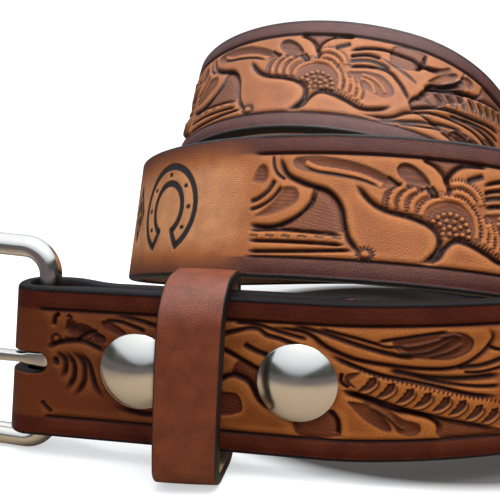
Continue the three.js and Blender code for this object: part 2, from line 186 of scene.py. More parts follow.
def grain_width(travel):
    """Full width, narrowing over the last 30 mm as 0.3 + 0.7 sqrt(1 - u2) to a round tip."""
    u = np.clip((travel - strap_length + tip_length) / tip_length, 0, 1)
    return strap_width * (tip_share + (1 - tip_share) * np.sqrt(1 - u**2))


# Buckle, its place: the frame's heel bar leans in the fold, and its lower corner starts inside the strap's
# width. The whole path is moved so that the bar's centre lies where the part's joints turn.
wire_radius = 2.7
buckle_size = (40.6, 49.8)
buckle_corner = 6.5
buckle_shift = 2.4
buckle_skew = math.radians(3.5)
bar_inset = 2.225
bar_place = np.array([-59.581, -75.296, 24.766])
fold_point, fold_along, fold_up, fold_out = (rows[0] for rows in strap_at(np.array([0.0])))
path_points = path_points + bar_place - (fold_point + bar_inset * fold_along - fold_radius * fold_out)
bar_up = math.cos(buckle_skew) * fold_up + math.sin(buckle_skew) * fold_along
bar_along = math.cos(buckle_skew) * fold_along - math.sin(buckle_skew) * fold_up

# Strap, its tooling: a saddler's knife cuts, bevels, pressed hollows, stamps and matting in damp leather.
# They are drawn on a canvas of strap coordinates, s along the belt and v up from its middle, in
# millimetres, with one plain panel on the middle turn.
panel_ends = (398, 555)
border_line = 13.7


def new_canvas(s, v):
    """Flat leather: no height, no dark in cuts, no matting and no ink."""
    layers = {name: np.zeros(s.shape) for name in ("height", "cut", "ground", "ink")}
    return {"s": s, "v": v, **layers}


def smooth_line(points, closed=False, step=0.5):
    """A smooth curve through the points, by blend_rows, with a sample about every step."""
    knots = np.array(points, float)
    if closed:
        padded = np.vstack([knots[-1], knots, knots[0], knots[1]])
    else:
        padded = np.vstack([2 * knots[0] - knots[1], knots, 2 * knots[-1] - knots[-2]])
    samples = []
    for a, b, c, d in zip(padded, padded[1:], padded[2:], padded[3:]):
        count = max(2, int(np.hypot(*(c - b)) / step) + 1)
        u = np.linspace(0, 1, count, endpoint=False)[:, None]
        samples.append(blend_rows(a, b, c, d, u))
    if not closed:
        samples.append(knots[-1:])
    return np.vstack(samples)


def nearby(canvas, line, reach):
    """Index of the canvas points within reach of a line's box."""
    low, high = line.min(0) - reach, line.max(0) + reach
    s, v = canvas["s"], canvas["v"]
    return np.nonzero((s > low[0]) & (s < high[0]) & (v > low[1]) & (v < high[1]))


def distance_to(canvas, index, line):
    """Signed distance to a line, positive on the left of its travel, and the share of its length there."""
    s, v = canvas["s"][index], canvas["v"][index]
    best = np.full(s.shape, 1e9)
    side = np.ones(s.shape)
    share = np.zeros(s.shape)
    steps = np.diff(line, axis=0)
    lengths = np.hypot(steps[:, 0], steps[:, 1])
    travelled = np.concatenate([[0], np.cumsum(lengths)])
    for start, step, length, before in zip(line, steps, lengths, travelled):
        if length < 1e-9:
            continue
        ds, dv = s - start[0], v - start[1]
        u = np.clip((ds * step[0] + dv * step[1]) / length**2, 0, 1)
        gap = np.hypot(ds - u * step[0], dv - u * step[1])
        nearer = gap < best
        best = np.where(nearer, gap, best)
        side = np.where(nearer, np.sign(step[0] * dv - step[1] * ds), side)
        share = np.where(nearer, (before + u * length) / travelled[-1], share)
    return best * np.where(side == 0, 1, side), share


def cut(canvas, points, width=0.8, depth=0.55, bevel=0.0, drop=0.6, taper=0.12):
    """A knife cut: a groove of depth (1 - d/width), with shoulders that round off over twice its width and
    fading over taper of its length at both ends. With a bevel, the leather on that side (left positive)
    is pressed down by drop and rises over its width."""
    line = smooth_line(points)
    index = nearby(canvas, line, max(2.2 * width, abs(bevel) * 1.6) + 0.2)
    gap, share = distance_to(canvas, index, line)
    fade = smooth_step(share / taper) * smooth_step((1 - share) / taper)
    groove = np.clip(1 - np.abs(gap) / width, 0, 1) * fade
    shoulder = np.clip(1 - np.abs(gap) / (2.2 * width), 0, 1) ** 2 * fade
    canvas["height"][index] -= depth * (groove + 0.5 * shoulder)
    canvas["cut"][index] = np.maximum(canvas["cut"][index], np.minimum(1, 1.3 * groove))
    if bevel:
        away = gap * math.copysign(1, bevel)
        slope = np.where(away > 0, np.clip(1 - away / abs(bevel), 0, 1) ** 1.5, 0) * fade
        canvas["height"][index] -= drop * slope
        canvas["cut"][index] = np.maximum(canvas["cut"][index], 0.45 * slope)


def inside_depth(canvas, index, line):
    """Distance inwards from a closed line, negative outside it, by the even-odd rule."""
    s, v = canvas["s"][index], canvas["v"][index]
    ring = np.vstack([line, line[:1]])
    odd = np.zeros(s.shape, bool)
    for (s0, v0), (s1, v1) in zip(ring, ring[1:]):
        if v0 != v1:
            crosses = (v0 > v) != (v1 > v)
            odd ^= crosses & (s < s0 + (v - v0) * (s1 - s0) / (v1 - v0))
    gap, _ = distance_to(canvas, index, ring)
    return np.where(odd, 1, -1) * np.abs(gap)


def hollow(canvas, points, depth=0.5, soft=1.2, dark=0.8, edge=0.5):
    """A pressed hollow in a closed outline: down by depth over soft, dark along its edge."""
    line = smooth_line(points, closed=True)
    index = nearby(canvas, line, soft + 0.4)
    inner = inside_depth(canvas, index, line)
    canvas["height"][index] -= depth * smooth_step(inner / soft + 0.25)
    rim = np.clip(1 - np.abs(inner - 0.2) / edge, 0, 1) * dark
    canvas["cut"][index] = np.maximum(canvas["cut"][index], rim)
    stain = 0.8 * dark * smooth_step(inner / 0.5 + 0.5)
    canvas["ground"][index] = np.maximum(canvas["ground"][index], stain)


def matting(canvas, points, depth=0.5):
    """Background stamped down with a fine weave: ground 1 inside the outline."""
    line = smooth_line(points, closed=True)
    index = nearby(canvas, line, 1)
    inner = inside_depth(canvas, index, line)
    s, v = canvas["s"][index], canvas["v"][index]
    weave = np.sin(4.2 * (s + 0.6 * v)) * np.sin(4.2 * (v - 0.6 * s))
    held = smooth_step(inner / 0.5 + 0.5)
    canvas["height"][index] -= held * (depth + 0.09 * weave)
    canvas["ground"][index] = np.maximum(canvas["ground"][index], held)


def teeth(canvas, points, count, length=1.6, width=0.42, depth=0.3, tilt=90):
    """A row of short pressed marks along a line, each turned by tilt degrees from its direction."""
    line = smooth_line(points, step=0.2)
    steps = np.diff(line, axis=0)
    travelled = np.concatenate([[0], np.cumsum(np.hypot(steps[:, 0], steps[:, 1]))])
    places = np.linspace(0, travelled[-1], count)
    for place in places:
        centre = np.array([np.interp(place, travelled, line[:, k]) for k in (0, 1)])
        k = min(np.searchsorted(travelled, place), len(steps) - 1)
        angle = math.atan2(steps[k, 1], steps[k, 0]) + math.radians(tilt)
        mark(canvas, centre, angle, length, width, depth)


def mark(canvas, centre, angle, length, width, depth):
    """One pressed mark: depth (1 - r2) with r2 = (2 along / length)2 + (across / width)2."""
    index = nearby(canvas, np.array([centre]), max(length, width) + 0.2)
    ds, dv = canvas["s"][index] - centre[0], canvas["v"][index] - centre[1]
    along = ds * math.cos(angle) + dv * math.sin(angle)
    across = dv * math.cos(angle) - ds * math.sin(angle)
    press = np.clip(1 - (2 * along / length) ** 2 - (across / width) ** 2, 0, 1)
    canvas["height"][index] -= depth * press
    canvas["cut"][index] = np.maximum(canvas["cut"][index], np.minimum(1, 1.4 * press))


def pebble(canvas, centre, radius=0.65, rise=0.3):
    """A round bead in a pressed ring: rise sqrt(1 - (d/r)2) inside, a dark groove just outside."""
    index = nearby(canvas, np.array([centre]), 2 * radius)
    gap = np.hypot(canvas["s"][index] - centre[0], canvas["v"][index] - centre[1]) / radius
    canvas["height"][index] += rise * np.sqrt(np.clip(1 - gap**2, 0, 1))
    ring = np.clip(1 - np.abs(gap - 1.15) / 0.4, 0, 1)
    canvas["height"][index] -= 0.12 * ring
    canvas["cut"][index] = np.maximum(canvas["cut"][index] * (gap > 0.9), 0.85 * ring)
    canvas["ground"][index] *= gap > 0.95


def moved(points, start, flip=1):
    """Points of a motif set down at s = start, mirrored in v where flip is -1."""
    return [(start + s, flip * v) for s, v in points]


def draw_borders(canvas):
    """One deep bevelled line along each edge, from the fold to the tip, and the field lower than it."""
    s, v = canvas["s"], canvas["v"]
    line_v = border_line * grain_width(s) / strap_width
    gap = line_v - np.abs(v)
    on = smooth_step((s - 2.6) / 1.4) * smooth_step((strap_length - 6 - s) / 4)
    on = on * np.maximum(smooth_step((panel_ends[0] - s) / 4), smooth_step((s - panel_ends[1]) / 4))
    groove = np.clip(1 - np.abs(gap) / 0.55, 0, 1) * on
    slope = np.where(gap > 0, np.clip(1 - gap / 1.6, 0, 1) ** 1.5, 0) * on
    crown = np.clip((-gap - 2.2) / 2.9, -1, 1) ** 2 * (gap < 0) * on
    canvas["height"] -= 0.45 * groove + 0.5 * slope + 0.45 * crown
    canvas["cut"] = np.maximum(canvas["cut"], np.maximum(np.minimum(1, 1.5 * groove), 0.4 * slope))


def raised(canvas, points, width=0.55, rise=0.4, bumps=0):
    """A raised ridge: rise sqrt(1 - (d/w)2), cleared of dark; bumps make the left side of it scalloped."""
    line = smooth_line(points)
    index = nearby(canvas, line, 2 * width + 0.3)
    gap, share = distance_to(canvas, index, line)
    reach = width * np.where(gap > 0, 1 + 0.7 * np.abs(np.sin(math.pi * bumps * share)) * (bumps > 0),
        1)
    ends = smooth_step(np.minimum(share, 1 - share) / 0.02)
    inside = smooth_step((reach - np.abs(gap)) / 0.25 + 0.5) * ends
    canvas["height"][index] += rise * np.sqrt(np.clip(1 - (gap / reach) ** 2, 0, 1)) * ends
    canvas["cut"][index] *= 1 - inside
    canvas["ground"][index] *= 1 - inside


def hatched(canvas, points, angle, spacing=0.55):
    """Fine parallel lines scored inside a closed outline: depth 0.16 where sin(2 pi d / spacing) peaks."""
    line = smooth_line(points, closed=True)
    index = nearby(canvas, line, 0.5)
    inner = inside_depth(canvas, index, line)
    turn = math.radians(angle)
    across = canvas["v"][index] * math.cos(turn) - canvas["s"][index] * math.sin(turn)
    score = np.clip(np.sin(2 * math.pi * across / spacing), 0, 1) * smooth_step(inner / 0.5)
    canvas["height"][index] -= 0.16 * score
    canvas["cut"][index] = np.maximum(canvas["cut"][index], 0.55 * score)


def draw_flower(canvas, start):
    """A flower with a beaded heart in scalloped rings, its petals reaching 50 mm to the left and right."""
    def put(points):
        return moved(points, start)

    def band(points, bumps, ticks=1.3):
        """A scalloped ridge with a comb of short marks along its left side."""
        line = smooth_line(put(points), step=0.2)
        slope = unit(np.gradient(line, axis=0))
        beside = line + 1.25 * np.column_stack([-slope[:, 1], slope[:, 0]])
        teeth(canvas, [tuple(p) for p in beside[::6]], 2 * bumps, length=ticks, width=0.22, depth=0.35)
        raised(canvas, put(points), bumps=bumps)
    matting(canvas, put([(-33.7, 4.7), (-29.3, 3.5), (-26.4, 0.1), (-25.6, -3.6), (-25.2, -6.5),
        (-32.2, -7), (-42.7, -6.1), (-37.2, -3.6), (-34.3, -0.3)]))
    matting(canvas, put([(-6, 13.3), (3.8, 13.3), (1.1, 11), (-0.2, 8.8), (-2.4, 10.8)]), depth=0.5)
    matting(canvas, put([(46, 13), (44.1, 8.5), (38.3, 4.9), (33.9, 2.6), (31.6, -1.5), (29.3, -4.5),
        (31, -6.2), (36, -4), (42, 0.4), (47.5, 4)]))
    cut(canvas, put([(-43.5, 13.5), (-42.8, 11), (-41, 8), (-37, 6), (-33.5, 4.9), (-30.2, 3.9),
        (-27.7, 1.8), (-26, -1.1), (-25.2, -4.4), (-23.9, -8.2), (-21.6, -11), (-20.6, -13)]),
        width=1.0, bevel=-2.8, drop=0.75)
    petal = [(-39.7, 11.4), (-38.5, 12.6), (-34.3, 13), (-30.2, 12.6), (-23.9, 11.4), (-18.5, 9.7),
        (-14.3, 7.6), (-12.2, 6), (-14.3, 5.3), (-17.7, 5.4), (-21.8, 6.4), (-26, 7.2), (-32.2, 8),
        (-37.2, 9.1), (-39.1, 10.1)]
    hollow(canvas, put(petal), depth=0.7, soft=2.2, dark=0.7, edge=0.7)
    hatched(canvas, put([(-34, 8.6), (-26, 8), (-17, 6.6), (-13.5, 5.6), (-17.7, 5.5), (-21.8, 6.5),
        (-32.2, 8.1)]), 72)
    raised(canvas, put([(-36.8, 11.2), (-33.5, 9.7), (-27.7, 8.9), (-21.8, 7.8), (-16.4, 5.8)]),
        width=0.8, rise=0.45)
    cut(canvas, put([(-37, 10.2), (-33.5, 8.9), (-27.7, 8.1), (-21.8, 7), (-17, 5.3)]), width=0.5,
        depth=0.3)
    cut(canvas, put([(-23.7, 6), (-21.8, 3.9), (-19.3, 1.4), (-16.4, -0.3), (-13.6, -1.1), (-9.3, -1.9),
        (-5.2, -3.2), (-2.7, -4.9), (-1.8, -6.9), (-2.2, -9.4), (-3.9, -11.6), (-6.8, -13)]), width=1.0,
        bevel=1.8, drop=0.8)
    teeth(canvas, put([(-1.1, -6.6), (-1.4, -9.6), (-3.2, -12.2)]), 12, length=1.8, width=0.28, tilt=75)
    for turn in np.radians(np.arange(0, 360, 24)):
        mark(canvas, (start - 19.75 + 1.9 * math.cos(turn), -11.9 + 1.5 * math.sin(turn)), turn, 1.7,
            0.32, 0.35)
    pebble(canvas, (start - 19.75, -11.9), radius=0.95)
    oval = [(-13.3, 10.5), (-12.2, 11.8), (-10.2, 11.8), (-7.7, 10.5), (-5.6, 8.5), (-4.7, 6.8),
        (-6, 6.6), (-9.3, 6.4), (-11.4, 7.6), (-12.9, 9.1)]
    hollow(canvas, put(oval), depth=0.7, soft=1.2, dark=0.9)
    hatched(canvas, put(oval), 100)
    cut(canvas, put([(-15.5, 8.2), (-13.6, 6.9), (-12, 6)]), width=0.6)
    cut(canvas, put([(-7.4, 13.3), (-3.9, 11.8), (-1.4, 9.3), (-0.2, 6.8), (0.25, 4)]), width=0.9,
        bevel=1.6, drop=0.7)
    cut(canvas, put([(-0.7, 6.6), (-0.4, 8.9), (1.1, 11), (3.2, 12.4), (6.5, 12.9), (10, 13.1)]),
        width=0.9, bevel=1.6, drop=0.7)
    cut(canvas, put([(-6, 6.4), (-4.4, 5), (-3.6, 3.4)]), width=0.7)
    cut(canvas, put([(-4.6, 6.6), (-3.2, 5), (-2.6, 3.6)]), width=0.6)
    pebble(canvas, (start - 1.9, 4.6), radius=0.8)
    scalloped = [(-16, -0.2), (-16.3, 3), (-14.6, 5.4), (-9, 6.6), (-4.6, 5), (0.4, 3.8), (5.5, 3),
        (8.2, 0), (9, -6), (4, -6.4), (-1, -5.8), (-6, -1.9), (-11, -1)]
    hollow(canvas, put(scalloped), depth=0.3, soft=0.9, dark=0.75)
    matting(canvas, put([(-5.4, -1.6), (-3, 1.2), (0.4, 2.2), (3.8, 1.3), (6.3, -0.9), (7, -4.5),
        (6.6, -5.9), (1, -6.2), (-2, -5)]), depth=0.1)
    band([(-13.9, -0.4), (-14, 2.4), (-12.8, 4.7), (-10.6, 5.9)], 6)
    band([(-11.4, -0.6), (-11.5, 2), (-10.3, 4.1), (-8.1, 5.3)], 6)
    band([(-8.9, -0.9), (-8.8, 1.6), (-7.4, 3.5), (-5.4, 4.7)], 6)
    band([(-6.6, -1.4), (-5.9, 0.9), (-4, 2.6), (-1.2, 3.6), (1.6, 3.6), (4.4, 2.6), (6.9, 0.1),
        (7.8, -2.8), (7.8, -5.6)], 15)
    band([(0.3, 5), (2.7, 5.5), (5, 4.7), (6.7, 3)], 6, 1.5)
    band([(0.2, 7.1), (2.9, 7.7), (5.6, 6.8), (7.6, 4.9), (8.5, 3)], 8, 1.5)
    band([(8.7, -0.3), (10, -2.8), (10, -6.4)], 5)
    band([(10.7, -1.3), (11.9, -4), (11.8, -7.2)], 5)
    band([(12.8, -2.8), (14, -5.3), (13.7, -8.2)], 5)
    for ring_radius, first, last, count in ((5.1, 148, -4, 9), (3.4, 140, 2, 5), (1.8, 145, -5, 4)):
        for angle in np.radians(np.linspace(first, last, count)):
            pebble(canvas, (start + 0.8 + ring_radius * math.cos(angle),
                -4.9 + ring_radius * 0.97 * math.sin(angle)), radius=0.66, rise=0.6)
    pebble(canvas, (start - 0.9, -5.1), radius=0.66, rise=0.6)
    pebble(canvas, (start + 0.8, -5), radius=0.66, rise=0.6)
    cut(canvas, put([(-5.2, -13.2), (-1.8, -11.5), (-0.2, -9), (1.5, -7.2), (3.4, -6.6), (6.5, -7.2),
        (10.7, -8.8), (15.3, -10.6), (20.3, -9.8), (24.5, -7.8)]), width=1.0, bevel=1.6, drop=0.8)
    teeth(canvas, put([(3, -5.6), (7, -6.2), (12, -8), (15.4, -9.4)]), 14, length=1.2, width=0.26)
    cut(canvas, put([(4.4, 8.6), (6.2, 9.6), (9, 10.8)]), width=1.1)
    cut(canvas, put([(8.2, 8), (11.2, 9.3), (14.5, 10.2), (18.7, 10.6), (23.2, 10.4), (28, 9.8),
        (32, 8.6), (35.7, 9.1), (38, 10)]), width=0.8, bevel=-1.2)
    hollow(canvas, put([(39.9, 12), (40.6, 10.6), (39.1, 8.9), (36.2, 7.6), (32.8, 7.4), (28, 8.2),
        (31, 9.3), (34.5, 9.4), (37.6, 10.6)]))
    cut(canvas, put([(9, 6.4), (12, 7.4), (15.3, 7.9), (18.7, 7.3)]), width=0.9, bevel=-1.0)
    hollow(canvas, put([(18.6, 7.4), (22, 6.4), (25.6, 4.9), (28.9, 3.1), (29.7, 1.8), (26, 3.4),
        (22.6, 5.2)]), depth=0.4, soft=0.8)
    cut(canvas, put([(9, 4.6), (12, 5.5), (15.4, 5.9), (18.5, 5.4), (22, 4)]), width=1.1)
    cut(canvas, put([(9, 2.4), (12.8, 3.4), (18.7, 3.9), (22, 3), (24.9, 0.55), (27, -2), (29, -4.9)]),
        width=0.9, bevel=1.1)
    hollow(canvas, put([(9.6, 0.8), (12.5, 1.6), (15.75, 2), (19.1, 1.6), (21.6, 0.1), (23.3, -1.7),
        (23.9, -3.6), (22.8, -5), (20.75, -5.7), (17.6, -4.9), (15, -3.6), (12.6, -1)]), depth=0.45,
        dark=0.6)
    for ridge in (
        [(13.7, 0.7), (17, 0.1), (19.5, -1.5), (21.4, -4)],
        [(13.4, -0.6), (15.6, -1.1), (17.4, -2.6), (18.4, -4.7)],
    ):
        raised(canvas, put(ridge), width=0.5)
    cut(canvas, put([(46.2, 12.8), (45.7, 10.5), (44.1, 8.5), (41.2, 6.4), (38.2, 4.9), (35.3, 3.9),
        (33.7, 2.4), (33, 0.5), (31.6, -1.5), (29.5, -3.4), (29, -5), (30.3, -6.5), (33.7, -7.8),
        (37.8, -8.8), (42.8, -10.7)]), bevel=2.4, drop=0.7)
    cut(canvas, put([(-33.9, 4.6), (-33.7, 3.2), (-34.3, 0.6), (-36.4, -2), (-39.3, -4), (-43.5, -5.6),
        (-47.7, -5.7), (-51, -5.3)]), width=0.9, bevel=1.4, drop=0.6)
    small = [(-51, 6.8), (-49.7, 10), (-48, 10.8), (-46.6, 9.3), (-46.6, 6.8), (-48, 5.6), (-50.2, 6)]
    large = [(-42.2, 4.3), (-40.6, 4.9), (-38.5, 4.5), (-37.5, 2.6), (-38.1, 0.6), (-40.6, -1.1),
        (-44.7, -2.8), (-48.5, -3.2), (-48.9, -2.8), (-45.6, -0.3), (-43.1, 2.6)]
    for lobe in (small, large):
        hollow(canvas, put(lobe), depth=0.5, soft=1.6, dark=0.45)
        hatched(canvas, put(lobe), 75)
    cut(canvas, put([(-44.3, 6.8), (-46, 3.9), (-48.5, 1.8), (-51.4, 0.6)]), width=0.9)
    cut(canvas, put([(-42.2, 5), (-44.7, 1.8), (-47.7, -0.3), (-51.4, -1.5)]), width=0.7)
    cut(canvas, put([(-45.6, 13.3), (-45.2, 10.4), (-44, 8.2), (-41.4, 6.4)]), width=0.6)
    cut(canvas, put([(-51, -6.9), (-42.7, -6.6), (-33, -7.1), (-24.7, -7.6)]), width=0.7, bevel=0.8)
    cut(canvas, put([(-51, -9.5), (-38.5, -9.6), (-24.3, -9.9)]), width=0.7, bevel=-0.8)
    cut(canvas, put([(-51, -12.3), (-42.7, -12.1), (-34.3, -11.8), (-22, -11)]), width=0.7, bevel=-1.0)
    for place in (-49, -44.6, -40.2, -35.8, -31.4, -27):
        teeth(canvas, put([(place - 0.9, -8.1), (place + 0.9, -8.3)]), 4, length=1.2, width=0.24,
            tilt=60)


def crescent(canvas, centre, flip):
    """A scalloped crescent pressed deep, its hollow side up the leaf, with a thin raised rim below it."""
    def put(points):
        return [(centre[0] + s, centre[1] + flip * v) for s, v in points]
    hollow(canvas, put([(2, 1.9), (1.9, 0.3), (0.1, -1.1), (-2.1, -1.5), (-1.3, -0.7), (-1, -0.2),
        (-0.3, 0.1), (-0.2, 0.8), (0.4, 1.1), (0.3, 1.7), (1.1, 1.7)]), depth=0.6, soft=0.6, dark=1.0)
    cut(canvas, put([(2.5, 1.7), (2.4, -0.1), (0.3, -1.8), (-1.8, -2.1)]), width=0.4, depth=-0.3)


def draw_leaf(canvas, start, flip=1):
    """A long acanthus leaf over a rope-edged one, 42 mm long, on a matted ground."""
    def put(points):
        return moved(points, start, flip)
    side = flip
    matting(canvas, put([(-6.7, -6), (0.6, -6.1), (2.7, -8.6), (3.1, -11.5), (2.7, -12.8),
        (-6.5, -12.8)]))
    matting(canvas, put([(26.5, -8.8), (32, -10.2), (41.7, -12), (41.7, -13.2), (27, -13.2)]))
    cut(canvas, put([(-14, 12.8), (-5, 11.6), (0, 8.6), (5.8, 6.2), (12.5, 4.9), (19.6, 3.9),
        (25.8, 3.5), (30, 3.9), (33, 5.1), (36.3, 7.6), (37.9, 10.1), (37.5, 11.6), (35.4, 13.1)]),
        bevel=-2.4 * side, drop=0.7)
    cut(canvas, put([(-9, 13.2), (-1.7, 11.9), (5.8, 9.6), (10.8, 8.1), (15.4, 7), (21, 6.2)]),
        width=0.9)
    cut(canvas, put([(-2.5, 12.9), (6, 11), (12.6, 9.2), (18, 8.9)]), width=0.6)
    cut(canvas, put([(10.8, 10.1), (15.8, 10.8), (21.7, 11.6), (27.5, 12.2)]), width=0.6)
    hollow(canvas, put([(14.6, 10.3), (20, 11.2), (25.8, 12), (30, 12), (32.5, 10.8), (33.3, 9.3),
        (32.1, 7.2), (27.9, 5.8), (23.75, 6), (20, 6.4), (16, 7.8)]), depth=0.7, soft=1.8, dark=0.9)
    for ridge in (
        [(10.7, 9.6), (17.5, 8.9), (22, 9.5), (27.1, 10.9)],
        [(14.8, 7.6), (21.7, 7.6), (25.8, 9.1), (29, 10.8)],
        [(22.3, 6.6), (27.1, 7.4), (31, 9.3)],
        [(25, 11), (28.5, 11.4), (30.6, 10.6)],
    ):
        cut(canvas, put(ridge), width=0.55, depth=-0.6)
    cut(canvas, put([(-0.4, 7.2), (3.3, 5.3), (9.2, 3.1), (14.6, 1.6), (19.2, 0.6), (25.8, -1),
        (34.2, -3.2), (41.2, -4.2)]), bevel=1.1 * side, drop=0.5)
    cut(canvas, put([(12.9, 3.5), (17.5, 2.6), (21.7, 1.7), (27.9, 1.1), (34.2, 1), (41.2, 1.3)]),
        width=1.2, depth=0.7)
    cut(canvas, put([(19, 2.2), (23, 0.9), (29, -0.3), (36, -1.2), (41.4, -1.3)]), width=0.7)
    cut(canvas, put([(29.6, 3.5), (34.2, 3.7), (38, 4.4), (41.4, 5.6)]), width=0.9)
    cut(canvas, put([(31, 2.4), (36, 2.3), (41.4, 3.3)]), width=0.6)
    cut(canvas, put([(36.5, 8.6), (39.2, 7.6), (41.6, 7.4)]), width=0.6)
    cut(canvas, put([(2.5, -1.1), (7.5, -2.4), (13.3, -4.3), (18.3, -6.1), (25.8, -8.2), (34.2, -10.3),
        (41.25, -11.9)]), bevel=-1.6 * side)
    cut(canvas, put([(3.4, 2.9), (3.1, 1.3), (3.6, 0.1), (5.2, -0.8)]), width=0.6)
    hollow(canvas, put([(4.6, 2.6), (7.6, 2.9), (6.2, 1.9), (5, 0.9), (6.6, -0.7), (4.6, 0),
        (3.9, 1.3)]), depth=0.4, soft=0.6)
    for s, v in (
        (9.1, 0), (13.3, -1.4), (17.7, -2.8), (21.9, -3.9), (26.4, -5), (30.4, -6.1), (34.6, -7.5), (38.7, -8.6),
    ):
        crescent(canvas, (start + s, flip * v), flip)
    teeth(canvas, put([(5.5, 4.3), (11.5, 2), (19.5, -0.2), (30, -3), (41, -5.2)]), 34, length=1.1,
        width=0.28, tilt=76 * side)
    cut(canvas, put([(3.3, -1.9), (9.2, -3.6), (15.4, -6.1), (19.6, -7), (23.8, -8.2), (26.3, -10.3),
        (26.7, -12.8)]), bevel=1.6 * side)
    cut(canvas, put([(0.8, -6.1), (2.7, -8.6), (3.1, -11.5), (2.7, -12.4)]), bevel=-1.4 * side)
    hollow(canvas, put([(5, -4), (9.2, -4.7), (12.9, -7.4), (15, -10.7), (13.3, -10.9), (9.2, -8.6),
        (5.8, -5.3)]), depth=0.6, soft=1.2)
    hollow(canvas, put([(8.3, -4), (13.3, -5.3), (17.5, -8.2), (21.3, -9.5), (21.7, -11.5),
        (19.6, -12.4), (16.7, -11.5), (14.6, -8.6)]), depth=0.6, soft=1.2)
    cut(canvas, put([(9.5, -5), (13.6, -7.4), (16.6, -10.2), (18.6, -11)]), width=0.6, depth=-0.5)


def draw_doubled_end(canvas):
    """The scroll that starts at the fold: nested arcs beside the first snap, a leaf above it."""
    cut(canvas, [(2.2, -9.5), (3.3, -11), (4.9, -12.4)], width=0.7)
    cut(canvas, [(6.4, 9.7), (6.8, 11.8), (8, 13)], width=0.7, bevel=-1)
    cut(canvas, [(9.9, 12.6), (11.2, 11.6)], width=0.6)
    hollow(canvas, [(9.9, 11.4), (12.4, 10.6), (12.6, 7.5), (10.2, 8.2)], depth=0.5, soft=0.7)
    hollow(canvas, [(12.8, 10.6), (16.2, 9.6), (15.9, 6.8), (13, 7.2)], depth=0.5, soft=0.7)
    hollow(canvas, [(16.6, 8.9), (19.4, 7.6), (18.8, 6), (16.7, 6.4)], depth=0.5, soft=0.7)
    cut(canvas, [(17.6, 9.3), (14.5, 8), (11.6, 6)], width=0.6)
    for s, v, reach in ((10.9, 9.5, 2.6), (14.3, 8.6, 2.6), (17.6, 7.6, 1.8)):
        teeth(canvas, [(s - 1.1, v + 0.3), (s + 1.1, v - 0.1)], 5, length=reach, width=0.24, depth=0.35,
            tilt=72)
    teeth(canvas, [(9.4, 6.9), (13.7, 6.9), (17, 6.3), (19.6, 4.9)], 16, length=1.0, width=0.26,
        tilt=80)
    mark(canvas, (6.9, 6.5), 0, 3.4, 1.7, 0.3)
    pebble(canvas, (6.9, 6.5), radius=0.9)
    cut(canvas, [(4.5, 3.9), (6.6, 5.1), (9.9, 6), (13.7, 6), (17, 4.9), (19.1, 3.7)], width=0.8,
        bevel=1.2)
    for arc in (
        [(5.9, 1.9), (6.6, 0.9), (6.4, -0.4)],
        [(6.6, 3.5), (8.7, 1.4), (8.9, -1.1), (7.7, -3.6)],
        [(8.7, 3.9), (11, 0.5), (11, -2.8), (9.9, -5), (8.4, -6.9)],
        [(10.3, 4.1), (13.3, 1), (13.7, -2.8), (12.8, -5.3), (10.4, -8.4)],
        [(12, 3.9), (14.7, 1), (15.8, -2.8), (16.7, -5.5), (18.8, -8.2)],
    ):
        cut(canvas, arc, width=0.95, bevel=1.0, drop=0.35, taper=0.3)
    hollow(canvas, [(18.7, 11.6), (21.6, 11), (24.5, 9), (22.8, 8.4), (19.2, 10)], depth=0.5, soft=0.8)
    cut(canvas, [(20.3, 13), (24.6, 12.7), (29, 11.9), (32.8, 11), (44, 9.6), (54.5, 12), (58.3, 10.5),
        (62, 9.6), (70, 6.6)], width=0.8)
    cut(canvas, [(19.2, 11.6), (23, 11.6), (27, 10.4), (29.6, 9.4)], width=0.7)
    cut(canvas, [(50, 13.2), (56, 12.8), (62, 11.2), (68, 9.9)], width=0.7)
    cut(canvas, [(52.6, 8.2), (55.4, 6.8), (58.6, 5.7)], width=0.9)
    cut(canvas, [(42, 8.6), (48, 6.6), (52, 4.6), (56.2, 2.4), (60, 1.6)], width=0.8, bevel=-1.4)
    cut(canvas, [(20, -9.5), (30, -11), (40, -8), (46, -2), (49.5, 0.2), (52, -0.2), (54.1, -1.5),
        (56.2, -4.9), (58.3, -6.5), (61.5, -8), (64.9, -10.3), (65.5, -12.8)], bevel=2.0, drop=0.7)
    matting(canvas, [(44, -4), (48, -3.8), (51.4, -4.4), (52, -8.4), (46, -9.4)])
    matting(canvas, [(52, 4.3), (56.6, 2), (57, -3), (55.6, -3.6), (53.4, -0.6), (50, 0.8)])


def draw_tooling(canvas):
    """All motifs in their places: the scroll, leaves and flowers, with a plain panel at 398 to 555."""
    near, far = canvas["s"].min() - 60, canvas["s"].max() + 60
    if near < 65:
        draw_doubled_end(canvas)
    for start, flip in (
        (72, 1), (214, -1), (352, 1), (655, -1), (797, 1), (842, -1), (883, 1), (1004.5, -1), (1148, 1),
    ):
        if near < start < far:
            draw_leaf(canvas, start, flip)
    for start in (166, 307, 607, 749, 976, 1100):
        if near < start < far:
            draw_flower(canvas, start)
    draw_borders(canvas)
    draw_panel(canvas)


